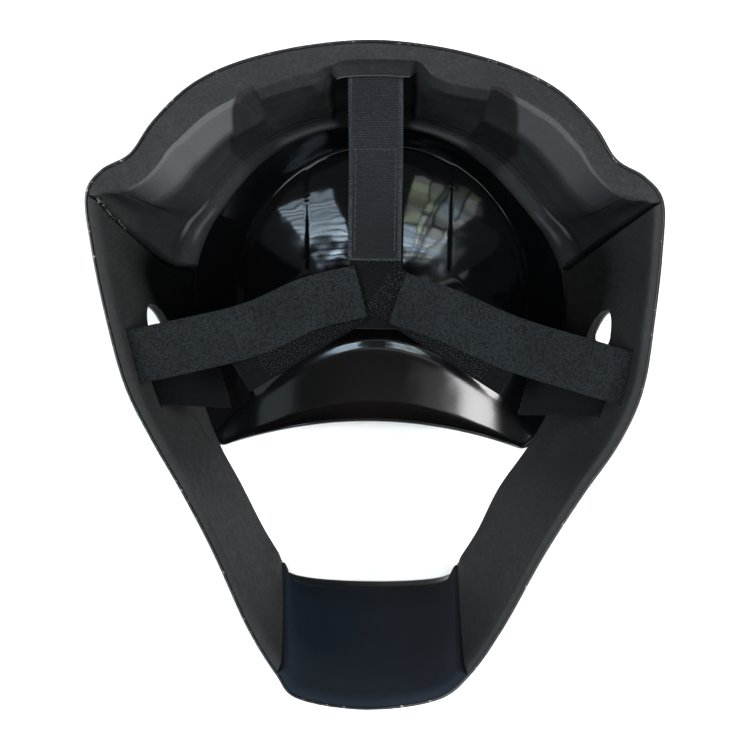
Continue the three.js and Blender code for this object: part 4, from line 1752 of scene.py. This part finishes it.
@dataclass
class HookPad:
    """Three arms of hook tape with plain ends, sewn over each other at the hub."""

    arms: tuple[Arm, ...] = (
        Arm(90, -21.5, 56, 4, -0.45), Arm(-32.5, -5, 77, 2, 0.0), Arm(212.5, -11, 77, 9, 0.45))
    outer_level: float = 0.5
    level_reach: Span = (14, 32)
    form: BandForm = BandForm(1.3, 0.06, 0.12, 33)
    hook_rings: tuple[Triple, ...] = (
        (-0.1, 0.14, 0.14), (0.42, 0.1, 0.1), (0.55, 0.26, 0.2), (0.7, 0.08, 0.08))
    hook_sides: int = 5
    hook_spacing: float = 0.88
    hook_sizes: Span = (0.5, 1.3)
    plain_end: float = 10
    plain_edge: float = 0.9
    patch_points: int = 5
    steps: int = 90
    seed: int = 5

    def arm(self, arm: Arm) -> tuple[Array, Array, Array]:
        """Lays out one arm.

        Args:
            arm: The arm.

        Returns:
            Its middle line, the direction of its width, and the distance of each point from the hub.
        """
        turn = math.radians(arm.turn)
        way = np.array([math.cos(turn), math.sin(turn)])
        reach = np.linspace(arm.start, arm.end, self.steps)
        plan = np.array([HARNESS.x, HARNESS.y]) + reach[:, None] * way
        level = arm.level + (self.outer_level - arm.level) * smooth_step(reach, *self.level_reach)
        line = np.column_stack([plan, HARNESS.height(plan[:, 0], plan[:, 1]) + level])
        across = np.tile([-way[1], way[0], 0.0], (self.steps, 1))
        return line, across, reach

    def hook_patch(self, line: Array, across: Array, up: Array) -> tuple[Array, Faces]:
        """The part of an arm's upper face that carries hooks.

        Args:
            line: Its middle line.
            across: Directions of its width.
            up: Directions away from it.

        Returns:
            Points and faces of an open patch.
        """
        widths = np.linspace(-self.plain_edge, self.plain_edge, self.patch_points)
        lift = self.form.half(widths)[None, :, None] * up[:, None]
        points = line[:, None] + across[:, None] * widths[None, :, None] * STRAP_WIDTH / 2 + lift
        rows, columns = points.shape[:2]
        starts = (i * columns + j for i in range(rows - 1) for j in range(columns - 1))
        return points, [(at, at + 1, at + columns + 1, at + columns) for at in starts]

    def build(self) -> list[Object]:
        """Makes the pad and the hooks on it."""
        parts, flats, patches = [], [], []
        for arm in self.arms:
            line, across, reach = self.arm(arm)
            points, _, up = self.form.sections(line, across)
            parts.append((points, loft_faces(*points.shape[:2])))
            flats.append(flat_grid(reach, self.form.flat_widths))
            hooked = (reach > arm.hooks) & (reach < arm.end - self.plain_end)
            patches.append(self.hook_patch(line[hooked], across[hooked], up[hooked]))
        pad = new_piece("hook_pad", *joined(parts), HOOKED.build(), np.concatenate(flats))
        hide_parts("harness_pad")
        base = new_piece("hook_field", *joined(patches), None)
        hook = small_shape("hook", self.hook_rings, self.hook_sides, "Z")
        repeat = Repeat("hook_field", Scatter.OVER_SURFACE, self.hook_spacing, *self.hook_sizes, self.seed)
        hooks = repeat.make(base, hook, HOOKS.build())
        return [pad, hooks]


class StrapRoute(NamedTuple):
    """A strap's slits and the middle line of its free run and of its tail."""

    name: str
    node: str
    first: Hole
    second: Hole
    foam: float
    line: Table
    tail: Triple
    weave: WebbingFinish


STRAP_ROUTES = (
    StrapRoute("top_webbing", "top_strap", Hole(0.04, 0.25), Hole(0.04, 0.64), 11,
               ((-2, 61), (-1.9, 84), (-1.8, 108)), (-1.6, 112, 84), RIBBED),
    StrapRoute("left_webbing", "left_strap", Hole(-9.6, 0.14), Hole(-9.9, 0.34), SIDE_FOAM,
               ((-8.5, 46.1), (-30.8, 40.4), (-58.7, 27.3), (-86.7, 19.5)), (-73.6, 1.8, 80), LOOPED),
    StrapRoute("right_webbing", "right_strap", Hole(9.8, 0.15), Hole(9.96, 0.37), SIDE_FOAM,
               ((9.7, 43), (33.8, 34.7), (60.2, 22.8), (92, 12.8)), (71.2, 0.2, 80), LOOPED),
)


def curve_through(knots: Array, steps: int) -> Array:
    """Smooth curve through points, however unevenly they lie.

    Args:
        knots: The points.
        steps: Steps between two points.

    Returns:
        The curve's points.
    """
    padded = np.concatenate([[2 * knots[0] - knots[1]], knots, [2 * knots[-1] - knots[-2]]])
    result = []
    for i in range(len(knots) - 1):
        p0, p1, p2, p3 = padded[i:i + 4]
        d0, d1, d2 = (np.linalg.norm(b - a) ** 0.5 for a, b in ((p0, p1), (p1, p2), (p2, p3)))
        t1 = ((p1 - p0) / d0 - (p2 - p0) / (d0 + d1) + (p2 - p1) / d1) * d1
        t2 = ((p2 - p1) / d1 - (p3 - p1) / (d1 + d2) + (p3 - p2) / d2) * d1
        t = np.linspace(0, 1, steps, endpoint=i == len(knots) - 2)[:, None]
        square, cube = 3 * (p2 - p1) - 2 * t1 - t2, 2 * (p1 - p2) + t1 + t2
        result.append(p1 + t1 * t + square * t ** 2 + cube * t ** 3)
    return np.concatenate(result)


def read_at(places: Array, known: Array, vectors: Array) -> Array:
    """Vectors that are known at some distances, read at others."""
    return np.column_stack([np.interp(places, known, vectors[:, axis]) for axis in range(3)])


def resampled(line: Array, vectors: Array, pitch: float) -> tuple[Array, Array, Array]:
    """A line and the directions along it at an even pitch.

    Args:
        line: Its points.
        vectors: Its directions.
        pitch: Distance between new points.

    Returns:
        New points, their directions, and their distances along the line.
    """
    away = distances(line)
    places = np.linspace(0, away[-1], int(away[-1] / pitch) + 1)
    return read_at(places, away, line), unit(read_at(places, away, vectors)), places


class Run(NamedTuple):
    """A strap's middle line with its directions, and the distance of each of its points."""

    line: Array
    across: Array
    tangent: Array
    up: Array
    away: Array


@dataclass
class Strap:
    """Webbing over an arm of the hook pad, out through one slit and back in through another."""

    route: StrapRoute
    form: BandForm = BandForm(STRAP_THICK, 0.05, 0.16, 35)
    run_inside: float = 2.4
    run_bend: float = 0.6
    run_outside: float = 1.9
    turns: tuple[float, ...] = (0.18, 0.5, 0.82)
    tail_middle: float = 0.45
    tail_arch: float = 2
    lift: float = 0.8
    curve_steps: int = 14
    pitch: float = 0.8
    pile: float = 0.025
    end_bead: float = 0.3
    end_reach: float = 0.9
    rib_pitch: float = 0.8
    rib_ends: float = 1.2
    rib_sink: float = 0.03
    rib_inset: float = 1.9
    rib_taper: float = 0.4
    rib_end_size: Span = (0.1, 0.06)
    rib_size: Span = (0.33, 0.17)
    rib_sides: int = 6
    stitch_run: Span = (5.0, 52.0)
    stitch_inset: float = 9.4
    stitch_pitch: float = 2.6
    stitch_rise: float = 0.16
    stitch_size: Span = (2.1, 0.42)
    stitch_shoulder: float = 0.36
    stitch_sides: int = 6
    stitch_sizes: Span = (0.9, 1.1)
    stitch_seed: int = 4
    fray_count: int = 130
    fray_across: float = 0.98
    fray_high: float = 0.45
    fray_sideways: Span = (0, 0.5)
    fray_upwards: Span = (0.1, 0.35)
    fray_sink: float = 0.2
    fray_turn: float = 0.01
    fray_rings: tuple[Triple, ...] = (
        (0, 0.07, 0.07), (0.5, 0.06, 0.06), (0.9, 0.02, 0.02))
    fray_sides: int = 4
    fray_sizes: Span = (0.3, 1.1)
    fray_seed: int = 9
    fray_draw: int = 23
    seed: int = 3

    def path(self) -> tuple[Array, Array, Array]:
        """Lays out the webbing: over the pad, out, along the outside, in again and to its tail.

        Returns:
            Middle line at an even pitch, the direction of its width, and distances along it.
        """
        route = self.route
        plan = np.array(route.line, float)
        rise = (PAD_THICK + STRAP_THICK) / 2 + self.lift
        over = np.column_stack([plan, HARNESS.height(plan[:, 0], plan[:, 1]) + rise])
        thick = BACKING + route.foam
        levels = np.array([thick + self.run_inside, thick / 2, -self.run_bend])
        rows = len(levels)
        out, back = (WALL.under(np.full(rows, slit.place), np.full(rows, slit.depth), way)
                     for slit, way in ((route.first, levels), (route.second, levels[::-1])))
        share = np.array(self.turns)
        outside = WALL.under(route.first.place + (route.second.place - route.first.place) * share,
                             route.first.depth + (route.second.depth - route.first.depth) * share,
                             np.full(len(share), -self.run_outside))
        tail = np.array(route.tail, float)
        middle = back[-1] + (tail - back[-1]) * self.tail_middle + np.array([0, 0, self.tail_arch])
        knots = np.concatenate([over, out, outside, back, [middle], [tail]])
        first, second = (WALL.directions(slit.place, slit.depth)[0] for slit in (route.first, route.second))
        level = np.gradient(plan, axis=0)[:, ::-1] * np.array([-1, 1])
        level = unit(np.column_stack([level, np.zeros(len(level))]))
        level *= np.where(level @ first < 0, -1, 1)[:, None]
        across = np.concatenate([level, np.tile(first, (rows, 1)), first + (second - first) * share[:, None],
                                 np.tile(second, (rows + 2, 1))])
        line = curve_through(knots, self.curve_steps)
        at = np.linspace(0, len(knots) - 1, len(line))
        return resampled(line, read_at(at, np.arange(len(knots)), across), self.pitch)

    def build(self) -> list[Object]:
        """Makes the webbing and what is on it."""
        line, across, away = self.path()
        points, tangent, up = self.form.sections(line, across)
        draw = np.random.default_rng(self.seed)
        bead = self.end_bead * bell(np.minimum(away, away[-1] - away), self.end_reach)
        fuzz = draw.normal(0, self.pile, points.shape[:2]) + bead[:, None]
        side = np.repeat([-1.0, 1.0], self.form.points)
        points = points + up[:, None] * (fuzz * side)[..., None]
        piece = new_piece(self.route.name, points, loft_faces(*points.shape[:2]), self.route.weave.build(),
                          flat_grid(away, self.form.flat_widths), {"back": np.tile(side < 0, len(away))})
        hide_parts(self.route.node)
        run = Run(line, across, tangent, up, away)
        pieces = [piece, self.frays(run)]
        if self.route.weave is RIBBED:
            pieces += [self.ribs(run), self.stitches(run)]
        return pieces

    def spread(self, repeat: Repeat, rows: Sequence[tuple[Array, Array, Array]], shape: Object,
               finish: Material) -> Object:
        """Repeats a shape on the webbing.

        Args:
            repeat: The repeat, with the last word of the piece's name.
            rows: Each shape's place, and the directions along it and up.
            shape: What is repeated.
            finish: Its material.

        Returns:
            The piece.
        """
        base = directed_points(repeat.name, *(np.array(column) for column in zip(*rows)))
        repeat.name = f"{self.route.name}_{repeat.name}"
        piece = repeat.make(base, shape, finish)
        return piece

    def ribs(self, run: Run) -> Object:
        """Fine ribs across both faces of the webbing."""
        places = np.arange(self.rib_ends, run.away[-1] - self.rib_ends, self.rib_pitch)
        middle, wide, up = (read_at(places, run.away, vectors) for vectors in (run.line, run.across, run.up))
        wide, up = unit(wide), unit(up)
        level = STRAP_THICK / 2 - self.rib_sink
        rows = [row for way in (1, -1) for row in zip(middle + way * up * level, wide, way * up)]
        half = STRAP_WIDTH / 2 - self.rib_inset
        rings = [(-half, *self.rib_end_size), (-half + self.rib_taper, *self.rib_size),
                 (half - self.rib_taper, *self.rib_size), (half, *self.rib_end_size)]
        repeat = Repeat("ribs", Scatter.AT_POINTS, seed=self.seed)
        rib = small_shape("rib", rings, self.rib_sides)
        return self.spread(repeat, rows, rib, bpy.data.materials[RIBBED.name])

    def stitches(self, run: Run) -> Object:
        """Seam that sews the webbing down: two rows along it and one across."""
        (first, last), inset, pitch = self.stitch_run, self.stitch_inset, self.stitch_pitch
        places = np.arange(first, last, pitch)
        spots = [(place, side * inset, run.tangent) for side in (-1, 1) for place in places]
        spots += [(last, wide, run.across) for wide in np.arange(-inset, inset + pitch / 2, pitch)]
        rows = []
        for place, wide, along in spots:
            i = int(np.searchsorted(run.away, place))
            middle = run.line[i] + run.across[i] * wide + run.up[i] * (STRAP_THICK / 2 + self.stitch_rise)
            rows.append((middle, along[i], run.up[i]))
        stitch = bar_shape("stitch", *self.stitch_size, self.stitch_shoulder, self.stitch_sides)
        repeat = Repeat("stitches", Scatter.AT_POINTS, 1.0, *self.stitch_sizes, self.stitch_seed)
        return self.spread(repeat, rows, stitch, THREAD.build())

    def frays(self, run: Run) -> Object:
        """Loose fibres at the cut ends of the webbing."""
        draw = np.random.default_rng(self.fray_draw)
        rows = []
        for end, way in ((0, -1.0), (-1, 1.0)):
            tangent, across, up = run.tangent[end], run.across[end], run.up[end]
            for _ in range(self.fray_count):
                wide = draw.uniform(-self.fray_across, self.fray_across) * STRAP_WIDTH / 2
                high = draw.uniform(-self.fray_high, self.fray_high)
                lean = way * tangent + draw.normal(*self.fray_sideways) * across
                lean = unit(lean + draw.normal(*self.fray_upwards) * up)
                start = run.line[end] + across * wide + up * high - way * tangent * self.fray_sink
                rows.append((start, lean, unit(np.cross(lean, across + self.fray_turn))))
        repeat = Repeat("frays", Scatter.AT_POINTS, 1.0, *self.fray_sizes, self.fray_seed)
        fibre = small_shape("fibre", self.fray_rings, self.fray_sides)
        return self.spread(repeat, rows, fibre, FIBRE.build())


# Light, floor and camera


class Seen(Enum):
    """Which surfaces a lamp lights."""

    BY_MATT = "matt"
    BY_GLOSS = "gloss"


class Lamp(NamedTuple):
    """An area light: its place, aim, size, power and colour, what it lights, and whether it is round."""

    name: str
    place: Triple
    aim: Triple
    size: Span
    power: float
    colour: Colour
    seen: Seen = Seen.BY_MATT
    oval: bool = False


@dataclass(frozen=True)
class Glow:
    """A soft oval patch overhead that only the gloss mirrors, made of stacked ovals that shrink inwards.

    Its middle and half size are x and y for each unit of height, and its shine is 1 for a white floor's.
    """

    name: str
    middle: Span
    half: Span
    shine: float
    colour: Colour = (1.0, 1.0, 1.0)
    layers: int = 3
    height: float = 2.0
    shrink: float = 0.5

    def lamps(self) -> list[Lamp]:
        """One lamp for each layer, the inner ones smaller."""
        lamps: list[Lamp] = []
        for layer in range(self.layers):
            scale = 2 * self.height * (1 - self.shrink * layer / self.layers)
            size = (self.half[0] * scale, self.half[1] * scale)
            power = self.shine / self.layers * math.pi * size[0] * size[1] * math.pi / 4
            x, y = self.middle[0] * self.height, self.middle[1] * self.height
            lamps.append(Lamp(f"{self.name}_{layer}", (x, y, self.height), (x, y, 0.0), size, power,
                              self.colour, Seen.BY_GLOSS, True))
        return lamps


class Tint(Enum):
    """Colour of what is seen through a pane."""

    SKY = (0.66, 0.84, 1.0)
    PALE = (0.9, 1.0, 0.97)
    LEAF = (0.7, 0.86, 0.62)


class PaneRow(NamedTuple):
    """A row of panes: its lower and upper edge, its brightness and its tint."""

    low: float
    high: float
    shine: float
    tint: Tint


@dataclass(frozen=True)
class Window:
    """Panes in an upright wall that only the gloss mirrors.

    Columns are given by their left and right edges. Brightness varies by the share spread, a column is
    moved up or down by up to stagger, and a row takes another tint at the share odd_panes of its panes.
    """

    name: str
    columns: Table
    rows: tuple[PaneRow, ...]
    spread: float
    seed: int
    wall_y: float = -1.7
    odd_panes: float = 0.0
    stagger: float = 0.0

    def lamps(self) -> list[Lamp]:
        """One lamp for each pane."""
        draw = np.random.default_rng(self.seed)
        shifts = draw.uniform(-self.stagger, self.stagger, len(self.columns))
        tints = list(Tint)
        lamps: list[Lamp] = []
        for low, high, shine, tint in self.rows:
            for (left, right), shift in zip(self.columns, shifts):
                size = (right - left, high - low)
                power = shine * math.pi * size[0] * size[1] * draw.uniform(1 - self.spread, 1 + self.spread)
                if draw.uniform() < self.odd_panes:
                    tint = tints[draw.integers(0, len(tints))]
                x, z = (left + right) / 2, (low + high) / 2 + shift
                lamps.append(Lamp(f"{self.name}_{len(lamps)}", (x, self.wall_y, z), (x, 0.0, z), size, power,
                                  tint.value, Seen.BY_GLOSS))
        return lamps


def slats(start: float, growth: float, share: float, shine: float, gain: float, count: int
          ) -> tuple[PaneRow, ...]:
    """Rows like the slats of a blind, each taller by a growth and brighter by a gain than the last."""
    return tuple(PaneRow(start * growth ** i, start * growth ** (i + share), shine + gain * i, Tint.SKY)
                 for i in range(count))


PANE_COLUMNS = ((-0.78, -0.5), (-0.93, -0.81), (-1.03, -0.98), (-1.27, -1.1), (-1.5, -1.33))
LEAVES = (
    PaneRow(0.92, 1.04, 1.0, Tint.LEAF), PaneRow(1.04, 1.2, 1.9, Tint.LEAF),
    PaneRow(1.2, 1.34, 1.4, Tint.LEAF), PaneRow(1.34, 1.56, 2.6, Tint.LEAF),
    PaneRow(1.56, 1.72, 2.2, Tint.PALE), PaneRow(1.72, 1.96, 3.6, Tint.LEAF),
)
BLINDS = slats(2.06, 1.08, 0.72, 8.0, 1.2, 7)
LOUVRES = slats(1.3, 1.085, 0.66, 5.4, 0.9, 13)
WINDOWS = (
    Window("leaves", PANE_COLUMNS, LEAVES, 0.7, 7, odd_panes=0.35, stagger=0.07),
    Window("blinds", PANE_COLUMNS, BLINDS, 0.3, 9, odd_panes=0.12, stagger=0.03),
    Window("louvres", ((0.62, 1.62),), LOUVRES, 0.35, 3),
)
GLOWS = (
    Glow("haze", (0.0, -1.35), (1.35, 1.0), 0.6, (0.85, 1.0, 1.05), 8),
    Glow("crest", (-0.2, -0.5), (0.55, 0.3), 5.5, layers=6),
    Glow("brow_right", (-1.02, 0.16), (0.46, 0.34), 95.0, layers=6),
    Glow("brow_spark", (-0.98, 0.16), (0.12, 0.1), 30.0),
    Glow("brow_near", (-0.34, 0.24), (0.16, 0.2), 3.4, layers=5),
    Glow("brow_left", (0.95, 0.18), (0.4, 0.3), 3.6, (0.8, 1.0, 1.05), layers=6),
    Glow("brow_low", (0.0, 0.34), (0.5, 0.2), 0.5, layers=6),
)


@dataclass
class Studio:
    """Pale floor, soft lights and the camera above the mask."""

    lamps: tuple[Lamp, ...] = (
        Lamp("right_key", (1.6, 0.1, 1.15), (0, 0.02, 0.05), (0.9, 0.9), 58, (1.0, 0.96, 0.92)),
        Lamp("left_fill", (-1.5, 0.0, 1.2), (0, 0, 0.05), (0.9, 0.9), 24, (0.8, 0.91, 1.0)),
        Lamp("overhead", (0.0, 0.0, 2.2), (0, 0, 0), (3.2, 3.2), 90, (0.95, 0.98, 1.0)),
    )
    mirrored: tuple[Union[Glow, Window], ...] = (*WINDOWS, *GLOWS)
    sky: Colour = (0.8, 0.92, 1.0)
    sky_strength: float = 0.05
    floor_half: float = 10.0
    floor_drop: float = 0.0003
    camera_place: Triple = (-1.0, 6.5, 750.0)
    camera_roll: float = 0.7
    camera_reach: float = 20
    sensor: float = 36
    lens: float = 67.06

    @staticmethod
    def lamp(lamp: Lamp) -> None:
        """Makes one area light."""
        data = bpy.data.lights.new(lamp.name, "AREA")
        data.shape = "ELLIPSE" if lamp.oval else "RECTANGLE"
        data.size, data.size_y = lamp.size
        data.energy = lamp.power
        data.color = lamp.colour
        light = linked(lamp.name, data)
        light.location = lamp.place
        towards = Vector(lamp.aim) - Vector(lamp.place)
        light.rotation_euler = towards.to_track_quat("-Z", "Y").to_euler()
        light.visible_glossy = lamp.seen is Seen.BY_GLOSS
        light.visible_diffuse = lamp.seen is Seen.BY_MATT

    def light(self) -> None:
        """Makes the lamps, what the gloss mirrors, and the sky."""
        for lamp in (*self.lamps, *(lamp for source in self.mirrored for lamp in source.lamps())):
            self.lamp(lamp)
        bpy.context.scene.view_settings.view_transform = "Standard"
        world = bpy.data.worlds.new("studio")
        world.use_nodes = True
        background = world.node_tree.nodes["Background"]
        background.inputs["Color"].default_value = (*self.sky, 1)
        background.inputs["Strength"].default_value = self.sky_strength
        bpy.context.scene.world = world

    def floor(self) -> None:
        """Makes the floor."""
        h, z = self.floor_half, -self.floor_drop
        mesh = bpy.data.meshes.new("floor")
        mesh.from_pydata([(-h, -h, z), (h, -h, z), (h, h, z), (-h, h, z)], [], [(0, 1, 2, 3)])
        mesh.materials.append(FLOOR.build())
        linked("floor", mesh)

    def camera(self) -> None:
        """Makes the camera, looking straight down."""
        data = bpy.data.cameras.new("camera")
        data.lens = self.lens
        data.sensor_width = self.sensor
        data.clip_end = self.camera_reach
        camera = linked("camera", data)
        camera.location = placed(np.array([self.camera_place]))[0]
        camera.rotation_euler = (0, 0, math.radians(self.camera_roll))
        bpy.context.scene.camera = camera


DENTS = {
    Side.LEFT: (Spot(-10.55, 0.84, 0.35, 0.05, 1.0), Spot(-10.3, 0.9, 0.5, 0.05, -0.5)),
    Side.RIGHT: (),
}
# Painted shade deep in the side foam beside the cap, where the walls shade it
SHADE_SPOTS = {
    Side.LEFT: (Spot(-7.9, 1.0, 1.5, 0.66, 0.9), Spot(-7.7, 1.02, 1.4, 0.45, 0.9)),
    Side.RIGHT: (Spot(7.9, 1.0, 1.5, 0.6, 0.9), Spot(7.8, 1.02, 1.4, 0.42, 0.9)),
}
CHIN_ENDS = (SEAM_AT + SEAM_GAP, 2 * WALL.last - SEAM_AT - SEAM_GAP)
# Painted shade on the chin's foam near one seam and deep in its middle
CHIN_SHADE_SPOTS = (Spot(CHIN_ENDS[0] + 0.5, 0.85, 1.2, 0.6, 0.75), Spot(WALL.last, 1.0, 1.6, 0.22, 0.4))


def side_pad(side: Side, ears: EarHole) -> Object:
    """Makes the foam of one side, with its ear hole and the strap's slits.

    Args:
        side: The side.
        ears: The ear hole's sizes.

    Returns:
        The piece.
    """
    word = side.name.lower()
    ends = (side.value * (CORNER_AT + SEAM_GAP), side.value * (SEAM_AT - SEAM_GAP))
    pad = ThinPad(f"{word}_side_foam", f"{word}_side_pad", "foam", *ends, SIDE_FOAM, True, SIDE_FINISH,
                  DENTS[side], SHADE_SPOTS[side])
    route = next(route for route in STRAP_ROUTES if route.node == f"{word}_strap")
    return pad.build([slit_cutter(route.first), slit_cutter(route.second), ears.cutter(side)])


def chin_pad() -> Object:
    """Makes the foam cup of the chin."""
    pad = ThinPad("chin_foam", "chin_pad", "chin_foam", *CHIN_ENDS, CHIN_FOAM, False, CHIN_FINISH,
                  shade_spots=CHIN_SHADE_SPOTS)
    return pad.build()


def main() -> None:
    """Builds the mask and the studio, and logs the faces of each piece."""
    logging.basicConfig(level=logging.INFO, format="%(name)s: %(message)s")
    ears = EarHole()
    slits = [hole for route in STRAP_ROUTES for hole in (route.first, route.second)]
    studio = Studio()
    studio.camera()
    pieces = [OuterSkin(slits, ears).build(), ForeheadPad(slits[:2]).build()]
    pieces += [side_pad(side, ears) for side in Side]
    pieces += [chin_pad(), GlueLine().build(), ForeheadCap().build()]
    pieces += HookPad().build()
    for route in STRAP_ROUTES:
        pieces += Strap(route).build()
    for piece in pieces:
        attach(piece, BODY)
        LOG.info("%s: %d faces", piece.name, len(piece.data.polygons))
    studio.light()
    studio.floor()


if __name__ == "__main__":
    main()
